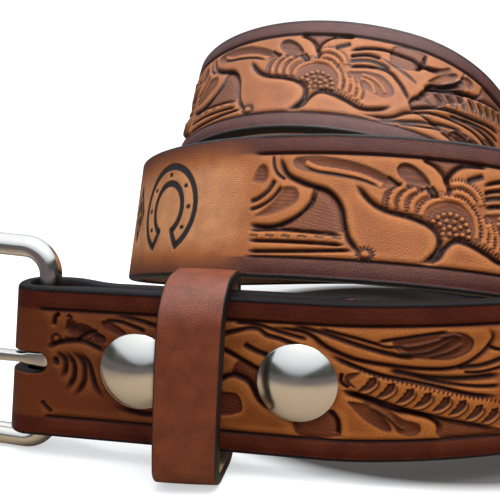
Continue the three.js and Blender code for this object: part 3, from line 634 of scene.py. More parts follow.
def draw_panel(canvas):
    """Plain horseshoes between diamonds, outlined in black on the bare panel."""
    for middle in (432, 478, 524):
        shoe = []
        for angle in np.radians(np.linspace(-62, 242, 25)):
            shoe.append((middle + 13 * math.cos(angle), 0.4 + 12.4 * math.sin(angle)))
        inner = [(middle + 0.56 * (s - middle), 0.4 + 0.6 * (v - 0.4)) for s, v in shoe]
        ends = [[shoe[0], inner[0]], [shoe[-1], inner[-1]]]
        for line in [shoe, inner] + ends:
            ink(canvas, line)
        for angle in np.radians((-35, 0, 38, 90, 142, 180, 215)):
            ink(canvas, [(middle + 10.2 * math.cos(angle) - 0.3, 0.4 + 10 * math.sin(angle)),
                (middle + 10.2 * math.cos(angle) + 0.3, 0.4 + 10 * math.sin(angle))], width=0.6)
    for middle in (411, 455, 501):
        for size in (1, 0.42):
            corners = [(-4.6 * size, 0), (0, 8 * size), (4.6 * size, 0), (0, -8 * size),
                (-4.6 * size, 0)]
            for (s0, v0), (s1, v1) in zip(corners, corners[1:]):
                ink(canvas, [(middle + s0, v0 + 0.8), (middle + s1, v1 + 0.8)])


def ink(canvas, points, width=1.0):
    """A black burnt line: full dark within its width, pressed a little into the leather."""
    line = smooth_line(points)
    index = nearby(canvas, line, width + 0.5)
    gap, _ = distance_to(canvas, index, line)
    dark = smooth_step((width - np.abs(gap)) / 0.3 + 0.5)
    canvas["height"][index] -= 0.2 * dark
    canvas["ink"][index] = np.maximum(canvas["ink"][index], dark)


def leather_tone(s, v):
    """How light the dye is: 0 on the borders, 0.2 at the fold to 1 in the field, 2 in the panel."""
    line_v = border_line * grain_width(s) / strap_width
    panel = smooth_step((s - panel_ends[0]) / 14) * smooth_step((panel_ends[1] + 4 - s) / 14)
    dye = 0.2 + 0.6 * smooth_step((s - 22) / 60) + 0.2 * smooth_step((s - 300) / 100)
    field = dye * smooth_step((line_v - np.abs(v)) / 0.8 + 0.5)
    bare = 2 - 1.9 * smooth_step((np.abs(v) - 6.5) / 13)
    return field * (1 - panel) + bare * panel

corner_clear = 4.6


def room_for_corner(spots):
    """Leather within corner_clear of the heel bar's axis moves out to that radius where the buckle's lower
    corner turns through it, at (shift - height / 2 + corner) up the bar and below."""
    from_bar = spots - bar_place
    up_bar = (from_bar @ bar_up)[..., None]
    aside = from_bar - up_bar * bar_up
    radius = np.linalg.norm(aside, axis=-1, keepdims=True)
    corner_top = buckle_shift - buckle_size[1] / 2 + buckle_corner
    held = corner_clear * smooth_step((corner_top + 1.6 - up_bar) / 1.6)
    return spots + aside * np.maximum(held / np.maximum(radius, 0.1) - 1, 0)


# Strap, its shells: seven closed stretches of the one strap, end to end, fine where the belt faces the
# front. Its edges are rounded and painted black, its flesh side is bare, and the slot for the prong and
# the holes at the far end are punched through.
edge_radius = 1.1
fold_arc = math.pi * fold_radius
slot_ends = (-fold_arc - 1.2, 1.8)
slot_half = 2.8
hole_places = [strap_length - 64 - 25.4 * i for i in range(5)]


def evenly(start, end, step):
    """Rows about a step apart, with both ends exact."""
    return np.linspace(start, end, round((end - start) / step) + 1)


def box_mean(field, reaches):
    """Mean of a grid over a box of plus and minus so many rows and columns, by running sums."""
    for axis, reach in enumerate(reaches):
        first, last = field.take([0], axis), field.take([-1], axis)
        padded = np.concatenate([np.repeat(first, reach + 1, axis), field,
            np.repeat(last, reach, axis)], axis)
        sums = np.cumsum(padded, axis)
        size = 2 * reach + 1
        high = sums.take(range(size, sums.shape[axis]), axis)
        field = (high - sums.take(range(sums.shape[axis] - size), axis)) / size
    return field


def lowness(height, spacing):
    """How far the leather lies below its surroundings, from -1 on ridges to 1 in grooves: the mean of
    two box means, 1 and 2.6 mm wide to each side, less the height, over 0.3 mm."""
    near, far = (box_mean(height, [max(1, round(reach / gap)) for gap in spacing]) for reach in (1,
        2.6))
    return np.clip((0.5 * (near + far) - height) / 0.3, -1, 1)


def openings_depth(travel, v):
    """Distance into the nearest cut-out, negative outside: a round-ended slot and round holes."""
    middle = np.clip(travel, slot_ends[0], slot_ends[1])
    depth = slot_half - np.hypot(travel - middle, v)
    for place in hole_places:
        depth = np.maximum(depth, 2.5 - np.hypot(travel - place, v))
    return depth


def fold_lean(s, v):
    """How far the fold's end leans along the belt: 4.2 v / width - 0.3, fading out over 26 mm. That is
    2.4 mm out at its lower edge and 1.8 mm in at its upper."""
    beside = np.maximum(s, -s - fold_arc)
    return (4.2 * v / strap_width - 0.3) * smooth_step(1 - beside / 26)


def build_shell(name, travel, grain_step, flesh_step, leather, cut_out=False):
    """A closed tube of rings: grain face, upper edge, flesh face, lower edge, with flat end caps."""
    rows = len(travel)
    grain_count = int(strap_width / grain_step)
    flesh_count = grain_count if cut_out else int(strap_width / flesh_step)
    across = np.linspace(-1, 1, grain_count)
    across_back = np.linspace(1, -1, flesh_count)
    width = grain_width(travel)
    place, heading, up, normal, thickness = grain_line(travel)
    radius = np.minimum(edge_radius, 0.42 * thickness)[:, None]
    flat = width / 2 - radius[:, 0]
    grain_v = flat[:, None] * across
    flesh_v = flat[:, None] * across_back
    turn = np.radians([18, 36, 54, 72, 90])
    arc_out = radius * np.sin(turn)
    arc_in = radius * (1 - np.cos(turn))
    upper_v = np.concatenate([flat[:, None] + arc_out, flat[:, None] + arc_out[:, ::-1]], 1)
    upper_depth = np.concatenate([arc_in, thickness[:, None] - arc_in[:, ::-1]], 1)
    v = np.concatenate([grain_v, upper_v, flesh_v, -upper_v[:, ::-1]], 1)
    depth = np.concatenate([np.zeros(grain_v.shape), upper_depth,
        np.tile(thickness[:, None], (1, flesh_count)), upper_depth[:, ::-1]], 1)
    s = np.tile(travel[:, None], (1, v.shape[1]))
    count = v.shape[1]
    zone = np.concatenate([
        np.zeros(grain_count), np.full(len(turn), 1), np.full(len(turn), 1),
        np.full(flesh_count, 2), np.full(2 * len(turn), 1)])
    if cut_out:
        inner = openings_depth(s, v)
        faces_inner = (inner[:-1] + inner[1:]) / 2
        faces_inner = (faces_inner + np.roll(faces_inner, -1, 1)) / 2
        wide = (zone == 0) | (zone == 2)
        gone = (faces_inner > 0) & (wide & (zone == np.roll(zone, -1)))[None, :]
        kept_near = np.zeros(s.shape, bool)
        gone_near = np.zeros(s.shape, bool)
        for dr in (0, 1):
            for dc in (0, 1):
                gone_near[dr:rows - 1 + dr] |= np.roll(gone, dc, 1)
                kept_near[dr:rows - 1 + dr] |= np.roll(~gone, dc, 1)
        rim = gone_near & kept_near
        probe = 0.01
        slope_s = (openings_depth(s + probe, v) - openings_depth(s - probe, v)) / (2 * probe)
        slope_v = (openings_depth(s, v + probe) - openings_depth(s, v - probe)) / (2 * probe)
        s = np.where(rim, s - inner * slope_s, s)
        v = np.where(rim, v - inner * slope_v, v)
    else:
        gone = np.zeros((rows - 1, count), bool)
    canvas = new_canvas((s + fold_lean(s, v))[:, :grain_count], v[:, :grain_count])
    draw_tooling(canvas)
    relief = np.zeros(v.shape)
    relief[:, :grain_count] = canvas["height"]
    low = np.zeros(v.shape)
    low[:, :grain_count] = lowness(canvas["height"], (np.diff(travel).mean(),
        strap_width / grain_count))
    shade = np.zeros(v.shape)
    shade[:, :grain_count] = canvas["cut"]
    ground = np.zeros(v.shape)
    ground[:, :grain_count] = canvas["ground"]
    ink_dark = np.zeros(v.shape)
    ink_dark[:, :grain_count] = canvas["ink"]
    point, heading, up, normal, _ = (a.reshape(rows, count, -1) for a in grain_line(s.ravel()))
    lean = fold_lean(s, v)[..., None] * strap_at(np.array([0.0]))[1][0]
    spots = point + lean + up * v[..., None] + normal * (relief - depth)[..., None]
    if travel[0] < 0:
        spots = room_for_corner(spots)
    vertices = (spots / 1000).reshape(-1, 3)
    r, c = np.meshgrid(np.arange(rows - 1), np.arange(count), indexing="ij")
    here = r * count + c
    there = r * count + (c + 1) % count
    quads = np.stack([here, here + count, there + count, there], -1)
    quads = quads[~gone].reshape(-1, 4)
    extra = []
    if cut_out and gone.any():
        mirror = grain_count + len(turn) * 2 + (grain_count - 1 - np.arange(grain_count))
        for i, j in zip(*np.nonzero(gone[:, :grain_count])):
            for di, dj, a, b in (
                (0, -1, (i, j), (i + 1, j)), (0, 1, (i + 1, j + 1), (i, j + 1)),
                (-1, 0, (i, j + 1), (i, j)), (1, 0, (i + 1, j), (i + 1, j + 1)),
            ):
                ni, nj = i + di, j + dj
                if 0 <= ni < rows - 1 and not gone[ni, nj]:
                    extra.append((
                        a[0] * count + a[1], b[0] * count + b[1],
                        b[0] * count + mirror[b[1]], a[0] * count + mirror[a[1]]))
    caps = [list(range(count - 1, -1, -1)), list(range((rows - 1) * count, rows * count))]
    caps = [cap[::-1] for cap in caps]
    faces = quads.tolist() + [list(e) for e in extra] + caps
    mesh = bpy.data.meshes.new(name)
    mesh.from_pydata(vertices.tolist(), [], faces)
    smooth = np.ones(len(faces), bool)
    smooth[-2:] = False
    mesh.polygons.foreach_set("use_smooth", smooth)
    # Painted shade: the flesh side within the fold, fading out 40 mm beyond it, is marked for darkening, which
    # stands in for the shadow in the tight pocket round the heel bar.
    pocket_shade = np.clip(1 - (np.abs(s + fold_arc / 2) - fold_arc / 2) / 40, 0, 1) * (zone == 2)
    layers = {
        "cut": shade, "low": low, "pocket_shade": pocket_shade, "ground": ground, "ink": ink_dark,
        "tone": leather_tone(s, v), "zone": np.tile(zone, (rows, 1))}
    for label, values in layers.items():
        mesh.attributes.new(label, "FLOAT", "POINT").data.foreach_set("value",
            values.ravel().astype(np.float32))
    lay = np.stack([s, v, depth], -1).reshape(-1).astype(np.float32) / 10
    mesh.attributes.new("lay", "FLOAT_VECTOR", "POINT").data.foreach_set("vector", lay)
    mesh.update()
    obj = bpy.data.objects.new(name, mesh)
    bpy.context.scene.collection.objects.link(obj)
    obj.data.materials.append(leather)
    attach(obj, "root")
    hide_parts("strap")
    return obj


def attribute(tree, name):
    """The factor output of a named mesh attribute."""
    node = tree.nodes.new("ShaderNodeAttribute")
    node.attribute_name = name
    return node.outputs["Fac"]


def feed(tree, socket, value):
    """Links another socket into this one, or sets it to a plain value."""
    if isinstance(value, bpy.types.NodeSocket):
        tree.links.new(value, socket)
    else:
        socket.default_value = value


def mix(tree, factor, first, second):
    """Colour between two, each a socket or four numbers."""
    node = tree.nodes.new("ShaderNodeMix")
    node.data_type = "RGBA"
    feed(tree, node.inputs["Factor"], factor)
    feed(tree, node.inputs[6], first)
    feed(tree, node.inputs[7], second)
    return node.outputs[2]


def product(tree, first, second):
    """Two values multiplied."""
    node = tree.nodes.new("ShaderNodeMath")
    node.operation = "MULTIPLY"
    feed(tree, node.inputs[0], first)
    feed(tree, node.inputs[1], second)
    return node.outputs[0]


def spread(tree, value, low, high, start=0.0, end=1.0):
    """The value carried from the range low..high to start..end, held at both ends."""
    node = tree.nodes.new("ShaderNodeMapRange")
    given = {"Value": value, "From Min": low, "From Max": high, "To Min": start, "To Max": end}
    for label, quantity in given.items():
        feed(tree, node.inputs[label], quantity)
    return node.outputs["Result"]


def noise(tree, vector, scale, detail=3.0, roughness=0.55):
    """Noise from 0 to 1 at a scale, on the given coordinates."""
    node = tree.nodes.new("ShaderNodeTexNoise")
    given = {"Vector": vector, "Scale": scale, "Detail": detail, "Roughness": roughness}
    for label, quantity in given.items():
        feed(tree, node.inputs[label], quantity)
    return node.outputs["Fac"]


strap_grain = { "Cloud Scale": 1.6, "Fleck Scale": 30, "Fleck Start": 0.48, "Fleck Full": 0.68,
    "Fleck Strength": 0.45, "Smoothest": 0.30, "Roughest": 0.46}


def build_grain_group():
    """Uneven dye and grain on the coordinates Lay: a cloud, dark flecks, the roughness and the height of
    the grain, each from a noise of its own scale."""
    group = bpy.data.node_groups.new("leather_grain", "ShaderNodeTree")
    group.interface.new_socket("Lay", in_out="INPUT", socket_type="NodeSocketVector")
    for label in strap_grain:
        group.interface.new_socket(label, in_out="INPUT", socket_type="NodeSocketFloat")
    for label in ("Cloud", "Fleck", "Roughness", "Height"):
        group.interface.new_socket(label, in_out="OUTPUT", socket_type="NodeSocketFloat")
    given = group.nodes.new("NodeGroupInput").outputs
    results = group.nodes.new("NodeGroupOutput").inputs
    lay = given["Lay"]
    feed(group, results["Cloud"], spread(group, noise(group, lay, given["Cloud Scale"]), 0.3, 0.7))
    flecks = noise(group, lay, given["Fleck Scale"], detail=2)
    feed(group, results["Fleck"], spread(group, flecks, given["Fleck Start"], given["Fleck Full"], 0,
        given["Fleck Strength"]))
    feed(group, results["Roughness"], spread(group, noise(group, lay, 9),
        0.3, 0.7, given["Smoothest"], given["Roughest"]))
    feed(group, results["Height"], noise(group, lay, 30, detail=3, roughness=0.6))
    return group


leather_grain = build_grain_group()


def worn_grain(tree, values):
    """The leather_grain group in a material, on the piece's own lay and with the material's values."""
    node = tree.nodes.new("ShaderNodeGroup")
    node.node_tree = leather_grain
    lay = tree.nodes.new("ShaderNodeAttribute")
    lay.attribute_name = "lay"
    feed(tree, node.inputs["Lay"], lay.outputs["Vector"])
    for label, value in values.items():
        feed(tree, node.inputs[label], value)
    return node.outputs


def edges_and_flesh(tree, dye, edge_paint, flesh):
    """The dye on the grain side, paint on the cut edges and bare leather on the flesh side, by zone."""
    zone = attribute(tree, "zone")
    dye = mix(tree, spread(tree, zone, 0.1, 0.6), dye, edge_paint)
    return mix(tree, spread(tree, zone, 1.2, 1.9), dye, flesh)


def raise_grain(tree, shader, height, strength, distance):
    """Grain height into the shader's normal."""
    bump = tree.nodes.new("ShaderNodeBump")
    bump.inputs["Strength"].default_value = strength
    bump.inputs["Distance"].default_value = distance
    feed(tree, bump.inputs["Height"], height)
    feed(tree, shader.inputs["Normal"], bump.outputs["Normal"])


border_dye = (0.052, 0.0045, 0.0020, 1)
field_dye = (0.47, 0.138, 0.027, 1)
bare_dye = (0.80, 0.35, 0.14, 1)
cloud_dye = (0.15, 0.028, 0.008, 1)
antique_dye = (0.085, 0.014, 0.006, 1)
# Painted highlight: a lighter tan for the raised crests of the tooling.
ridge_highlight_colour = (0.62, 0.215, 0.048, 1)
fleck_dye = (0.05, 0.010, 0.005, 1)
cut_dye = (0.018, 0.004, 0.003, 1)
ink_black = (0.014, 0.009, 0.010, 1)
# Painted shade for the flesh side inside the fold.
fold_shade_colour = (0.010, 0.006, 0.006, 1)


def tooled_leather(name, sheen_level):
    """Antiqued leather: dyed by tone, darker where low, lighter on raised crests as a painted highlight, stamped
    or cut, black on its edges, with painted shade on the flesh side inside the fold. The second argument is the
    strength of its reflections, a painted sheen: copies of this one leather differ only in it."""
    leather = bpy.data.materials.new(name)
    leather.use_nodes = True
    tree = leather.node_tree
    principled = tree.nodes["Principled BSDF"]
    grain = worn_grain(tree, strap_grain)
    tone = attribute(tree, "tone")
    dye = mix(tree, spread(tree, tone, 0, 1), border_dye, field_dye)
    dye = mix(tree, spread(tree, tone, 1, 2), dye, bare_dye)
    dye = mix(tree, spread(tree, grain["Cloud"], 0, 1, 0, 0.4), dye, cloud_dye)
    low = attribute(tree, "low")
    dye = mix(tree, spread(tree, low, -0.05, 0.8, 0, 0.85), dye, antique_dye)
    # Painted highlight: where the leather stands above its surroundings it is lightened towards a brighter tan,
    # fully in the field and only a little on the borders.
    ridge_highlight = product(tree, spread(tree, low, -0.5, -0.1, 0.4, 0), spread(tree, tone, 0.05, 0.6, 0.12, 1))
    dye = mix(tree, ridge_highlight, dye, ridge_highlight_colour)
    dye = mix(tree, grain["Fleck"], dye, fleck_dye)
    stamped = mix(tree, spread(tree, tone, 0.6, 1), (0.085, 0.016, 0.008, 1), (0.16, 0.045, 0.018, 1))
    dye = mix(tree, spread(tree, attribute(tree, "ground"), 0, 1, 0, 0.8), dye, stamped)
    dye = mix(tree, attribute(tree, "cut"), dye, cut_dye)
    dye = mix(tree, attribute(tree, "ink"), dye, ink_black)
    dye = edges_and_flesh(tree, dye, (0.006, 0.005, 0.006, 1), (0.21, 0.11, 0.06, 1))
    # Painted shade over the flesh side in and near the fold.
    dye = mix(tree, spread(tree, attribute(tree, "pocket_shade"), 0, 0.5, 0, 0.93), dye, fold_shade_colour)
    feed(tree, principled.inputs["Base Color"], dye)
    feed(tree, principled.inputs["Roughness"], grain["Roughness"])
    # Strength of the reflections, set per copy to paint the sheen.
    principled.inputs["Specular IOR Level"].default_value = sheen_level
    raise_grain(tree, principled, grain["Height"], 0.8, 0.0004)
    return leather


# Three copies of one leather whose reflections differ only to paint sheen: weak on the first turn, which faces
# the dark front, stronger on the second turn and strongest on the third, which lean back to the sky.
dim_sheen_leather = tooled_leather("dim_sheen_leather", 0.12)
mid_sheen_leather = tooled_leather("mid_sheen_leather", 0.38)
bright_sheen_leather = tooled_leather("bright_sheen_leather", 0.65)

flap_rows = np.linspace(-fold_arc - flap_length, -fold_arc - 8, 90)
seams = (42, 118, 486, 628, 898, 1052)
doubled_rows = np.concatenate([flap_rows[:-1], evenly(-fold_arc - 8, seams[0], 0.3)])
build_shell("strap_doubled_end", doubled_rows, 0.3, 0.3, dim_sheen_leather, cut_out=True)
stretches = (
    ("strap_front", 0.25, 2, dim_sheen_leather),
    ("strap_outer_turn", 0.8, 3, dim_sheen_leather),
    ("strap_second_front", 0.28, 2, mid_sheen_leather),
    ("strap_second_turn", 0.8, 3, mid_sheen_leather),
    ("strap_third_front", 0.29, 2, bright_sheen_leather),
)
for start, end, (name, grain_step, flesh_step, leather) in zip(seams, seams[1:], stretches):
    build_shell(name, evenly(start, end, grain_step), grain_step, flesh_step, leather)
build_shell("strap_inner_end", evenly(seams[-1], strap_length, 0.6), 0.6, 0.6, bright_sheen_leather,
    cut_out=True)


# Nickel: the plated brass and zinc of buckle, prong and snaps, bright with faint rub marks. Its pieces are
# closed meshes of rings of points, joined in order and taken from millimetres to metres.
def ring_mesh(name, rings, looped, body, replaced, paint):
    """A closed tube through rings (count x sides x 3); its ends meet, or are closed by flat caps."""
    count, sides = rings.shape[:2]
    r, c = np.meshgrid(np.arange(count if looped else count - 1), np.arange(sides), indexing="ij")
    after, across = (r + 1) % count, (c + 1) % sides
    quads = np.stack([r * sides + c, r * sides + across, after * sides + across, after * sides + c],
        -1).reshape(-1, 4)
    faces = quads.tolist()
    if not looped:
        faces.append(list(range(sides - 1, -1, -1)))
        faces.append(list(range((count - 1) * sides, count * sides)))
    corners = rings.reshape(-1, 3) / 1000
    a, b, c, d = (corners[quads[:, k]] for k in range(4))
    volume = np.sum(np.cross(b - a, c - a) * a) + np.sum(np.cross(c - a, d - a) * a)
    middle = corners.mean(0)
    volume -= np.sum(np.cross(b - a, c - a) * middle) + np.sum(np.cross(c - a, d - a) * middle)
    if volume < 0:
        faces = [face[::-1] for face in faces]
    mesh = bpy.data.meshes.new(name)
    mesh.from_pydata(corners.tolist(), [], faces)
    smooth = np.ones(len(faces), bool)
    if not looped:
        smooth[-2:] = False
    mesh.polygons.foreach_set("use_smooth", smooth)
    mesh.update()
    obj = bpy.data.objects.new(name, mesh)
    bpy.context.scene.collection.objects.link(obj)
    mesh.materials.append(paint)
    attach(obj, body)
    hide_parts(replaced)
    return obj


nickel = bpy.data.materials.new("nickel")
nickel.use_nodes = True
tree = nickel.node_tree
nickel_shader = tree.nodes["Principled BSDF"]
nickel_shader.inputs["Base Color"].default_value = (0.75, 0.725, 0.67, 1)
nickel_shader.inputs["Metallic"].default_value = 1
place = tree.nodes.new("ShaderNodeTexCoord").outputs["Object"]
tree.links.new(spread(tree, noise(tree, place, 300), 0.35, 0.7, 0.13, 0.22),
    nickel_shader.inputs["Roughness"])

# Buckle: a rounded rectangle of round nickelled wire, bent and soldered. Its right side is the heel bar,
# which turns in the strap's fold.
def on_bar(along, out, up):
    """Points by their distances along, out of and up the strap from the heel bar's centre."""
    along, out, up = (np.asarray(part, float)[..., None] for part in (along, out, up))
    return bar_place + along * bar_along + out * fold_out + up * bar_up


def wire_line():
    """Centre line of the buckle's wire and the angle of its outward side, corner after corner."""
    length, height = buckle_size
    places = []
    left = 1 - length / buckle_corner
    for quarter, (x, y) in enumerate(((-1, 1), (left, 1), (left, -1), (-1, -1))):
        middle = (x * buckle_corner, y * (height / 2 - buckle_corner) + buckle_shift)
        for angle in np.radians(np.linspace(90 * quarter, 90 * quarter + 90, 25)):
            places.append((middle[0] + buckle_corner * math.cos(angle),
                middle[1] + buckle_corner * math.sin(angle), angle))
    return np.array(places)


around = np.linspace(0, 2 * math.pi, 40, endpoint=False)
wire = wire_line()
away = wire_radius * np.cos(around)
wire_rings = on_bar(
    wire[:, :1] + away * np.cos(wire[:, 2:]),
    np.tile(wire_radius * np.sin(around), (len(wire), 1)),
    wire[:, 1:2] + away * np.sin(wire[:, 2:]))
ring_mesh("buckle_wire", wire_rings, True, "buckle", "buckle_frame", nickel)

# Prong: one strip of nickelled metal, thick along its shaft and beaten thin where it curls round the heel
# bar. It comes through the slot in the fold and rests on the frame's far side.
prong_reach = 45.7
prong_bore = 3.0
prong_ring = 4.2


def prong_pairs():
    """Outer and inner edge of the strip (along, out) and its width: from the tip along the shaft, then
    round the bar, where both edges are circles."""
    x = np.array([-prong_reach, 0.7 - prong_reach, 1.6 - prong_reach, -0.75 * prong_reach,
        -0.35 * prong_reach, -7, -5, -4.2, -2.9])
    lift = np.array([4.0, 4.25, 4.4, 4.4, 3.75, 3.0, 2.87, 2.83, 2.8])
    half = np.array([0.5, 1.15, 1.4, 1.4, 1.4, 1.4, 1.4, 1.4, 1.4])
    wide = np.array([1.5, 2.2, 2.5, 2.7, 2.7, 2.5, 2.6, 3.8, 3.8])
    along = np.concatenate([np.linspace(-prong_reach, 1.6 - prong_reach, 8),
        np.linspace(3 - prong_reach, -2.9, 46)])
    shaft = [np.interp(along, x, values) for values in (lift, half, wide)]
    pairs = [(s, u + h, s, u - h, w) for s, u, h, w in zip(along, *shaft)]
    for angle in np.radians(np.linspace(-58, 280, 70)):
        inner = (prong_bore * math.sin(angle), prong_bore * math.cos(angle))
        outer = (prong_ring * math.sin(angle), prong_ring * math.cos(angle))
        if angle < 0:
            outer = (-2.7 * angle / math.radians(-58), prong_ring)
        pairs.append((*outer, *inner, 3.8))
    return np.array(pairs)


pairs = prong_pairs()
square = 0.42
side = np.linspace(0, 2 * math.pi, 28, endpoint=False)
bulge = np.sign(np.cos(side)) * np.abs(np.cos(side)) ** square / 2
spanned = np.sign(np.sin(side)) * np.abs(np.sin(side)) ** square / 2
prong_rings = on_bar(
    (pairs[:, :1] + pairs[:, 2:3]) / 2 + bulge * (pairs[:, :1] - pairs[:, 2:3]),
    (pairs[:, 1:2] + pairs[:, 3:4]) / 2 + bulge * (pairs[:, 1:2] - pairs[:, 3:4]),
    spanned * pairs[:, 4:])
ring_mesh("prong_strip", prong_rings, False, "prong", "prong", nickel)

# Snaps: two nickelled brass fasteners that hold the doubled end. Each has a domed cap with a rolled rim
# and a barrel in front, and a flanged stud behind the flap whose post enters the barrel.
snap_places = (27.5, 65.3)
cap_radius = 9.3
cap_rise = 3.2
cap_base = 0.8
fit = 0.3


def cap_profile():
    """Radius and height from the dome's top over the rolled rim and under it to the barrel's bore."""
    sphere = (cap_radius**2 + cap_rise**2) / (2 * cap_rise)
    radii = cap_radius * np.sin(np.linspace(0.02, 1, 22) * math.pi / 2) - 0.18
    dome = [(r, cap_base + cap_rise - sphere + math.sqrt(sphere**2 - r**2)) for r in radii]
    rim = [(cap_radius - 0.26 + 0.26 * math.cos(a),
        cap_base - 0.08 + 0.26 * math.sin(a)) for a in np.radians((55, 30, 0, -40, -80))]
    return dome + rim + [(4.3, fit), (4, fit - 0.2), (4, -3.9), (3.9, -4), (2.6, -4), (2.5, -3.9),
        (2.5, -0.4), (2.4, -0.3), (0.02, -0.3)]


def stud_profile():
    """Radius and height from the post's top down to the flange and under it."""
    back = -8.7
    return [(0.02, -0.6), (1.7, -0.6), (1.9, -0.7), (2.2, -1.2), (2.2, back), (5.7, back),
        (5.9, back - 0.1), (6, back - 0.3), (6, back - 0.55), (5.85, back - 0.8), (5.6, back - 0.9),
        (0.02, back - 0.9)]


def turn_mesh(name, profile, place, replaced):
    """A turned piece on the strap's face: its profile round the direction out of the leather."""
    point, along, up, out = (rows[0] for rows in strap_at(np.array([place])))
    profile = np.array(profile)
    spin = np.linspace(0, 2 * math.pi, 96, endpoint=False)
    circle = np.cos(spin)[:, None] * along + np.sin(spin)[:, None] * up
    rings = point + profile[:, None, :1] * circle + profile[:, None, 1:] * out
    return ring_mesh(name, rings, False, "root", replaced, nickel)


for number, place in enumerate(snap_places, 1):
    turn_mesh(f"cap_dome_{number}", cap_profile(), place, f"snap_cap_{number}")
    turn_mesh(f"stud_post_{number}", stud_profile(), place, f"snap_stud_{number}")

# Keeper: a plain dyed leather band, bent into a loop round the doubled end, its cut edges painted black.
# Wear has bowed its front out and turned it a little.
keeper_place = 42.1
keeper_half_width = 7.3
keeper_wall = 2.2
keeper_swell = 1.9
keeper_box = (-11.1, 8.8, -24.8, 23.85)
keeper_corners = (9.5, 5.5, 5, 5)
keeper_bow = 2.3
keeper_lean = 1.9
keeper_turn = 0.16


def keeper_loop(steps=14):
    """The loop's outer line (out, up) and its outward angle: a box with round corners, from the top at the
    front round to the back; straight stretches get points of their own."""
    back, front, low, high = keeper_box
    radii = keeper_corners
    middles = ((front - radii[0], high - radii[0]), (front - radii[1], low + radii[1]),
               (back + radii[2], low + radii[2]), (back + radii[3], high - radii[3]))
    line = []
    for (x, y), radius, first in zip(middles, radii, (90, 0, -90, -180)):
        for angle in np.radians(np.linspace(first, first - 90, steps)):
            line.append((x + radius * math.cos(angle), y + radius * math.sin(angle), angle))
    line = np.array(line)
    closed = np.vstack([line, line[:1] - (0, 0, 2 * math.pi)])
    filled = []
    for start, end in zip(closed, closed[1:]):
        pieces = max(1, round(math.hypot(*(end - start)[:2]) / 1.2))
        filled.extend(start + (end - start) * k / pieces for k in range(pieces))
    return np.array(filled)


def keeper_rings():
    """Sections of the band all round the loop: a thin rectangle with round corners and a faint crown."""
    line = keeper_loop()
    soft = 0.5
    bevel = np.radians(np.linspace(0, 90, 4))
    half, wall = keeper_half_width, keeper_wall
    outer = [(a, 0.12 * (1 - (a / half) ** 2)) for a in np.linspace(soft - half, half - soft, 31)]
    right = [(half - soft + soft * math.sin(b), -soft + soft * math.cos(b)) for b in bevel[1:]]
    right += [(half, -wall / 2)]
    right += [(half - soft + soft * math.cos(b), -wall + soft - soft * math.sin(b)) for b in bevel[:-1]]
    inner = [(a, -wall) for a in np.linspace(half - soft, soft - half, 12)]
    left = [(-a, depth) for a, depth in right[::-1]]
    section = np.array(outer + right + inner + left)
    edge = np.concatenate([np.zeros(len(outer)), np.ones(len(right)), np.full(len(inner), 2),
        np.ones(len(left))])
    point, along, up, out = (rows[0] for rows in strap_at(np.array([keeper_place])))
    rings = []
    for x, y, angle in line:
        outward = math.cos(angle) * out + math.sin(angle) * up
        facing = max(0, math.cos(angle))
        bow = keeper_bow * facing * max(0, 1 - ((y + 8) / 27) ** 2)
        base = point + (x + bow) * out + y * up
        shift = keeper_lean * (y / 47.7 - 0.1) + section[:, :1]
        thickened = section[:, 1:] * np.where(section[:, 1:] < 0,
            1 + keeper_swell / keeper_wall * facing, 1)
        turned = keeper_turn * facing * section[:, :1]
        rings.append(base + shift * along - turned * out + thickened * outward)
    travel = np.concatenate([[0], np.cumsum(np.hypot(*np.diff(line[:, :2], axis=0).T))])
    return np.array(rings), edge, travel, section[:, 0]


keeper_leather = bpy.data.materials.new("keeper_leather")
keeper_leather.use_nodes = True
tree = keeper_leather.node_tree
keeper_shader = tree.nodes["Principled BSDF"]
grain = worn_grain(tree, { "Cloud Scale": 2.2, "Fleck Scale": 34, "Fleck Start": 0.47,
    "Fleck Full": 0.66, "Fleck Strength": 0.6, "Smoothest": 0.34, "Roughest": 0.46})
dye = mix(tree, grain["Cloud"], (0.215, 0.044, 0.010, 1), (0.130, 0.022, 0.005, 1))
dye = mix(tree, grain["Fleck"], dye, fleck_dye)
dye = edges_and_flesh(tree, dye, (0.005, 0.004, 0.005, 1), (0.33, 0.20, 0.11, 1))
feed(tree, keeper_shader.inputs["Base Color"], dye)
feed(tree, keeper_shader.inputs["Roughness"], grain["Roughness"])
keeper_shader.inputs["Specular IOR Level"].default_value = 0.42
raise_grain(tree, keeper_shader, grain["Height"], 0.5, 0.0003)

rings, edge, travel, spanned = keeper_rings()
keeper = ring_mesh("keeper_band", rings, True, "root", "keeper", keeper_leather)
keeper_zone = np.tile(edge, (len(rings), 1)).astype(np.float32)
keeper.data.attributes.new("zone", "FLOAT", "POINT").data.foreach_set("value", keeper_zone.ravel())
keeper_lay = np.stack([np.tile(travel[:, None], (1, len(edge))), np.tile(spanned, (len(rings), 1)),
    2 * keeper_zone], -1) / 10
keeper.data.attributes.new("lay", "FLOAT_VECTOR", "POINT").data.foreach_set("vector",
    keeper_lay.astype(np.float32).ravel())

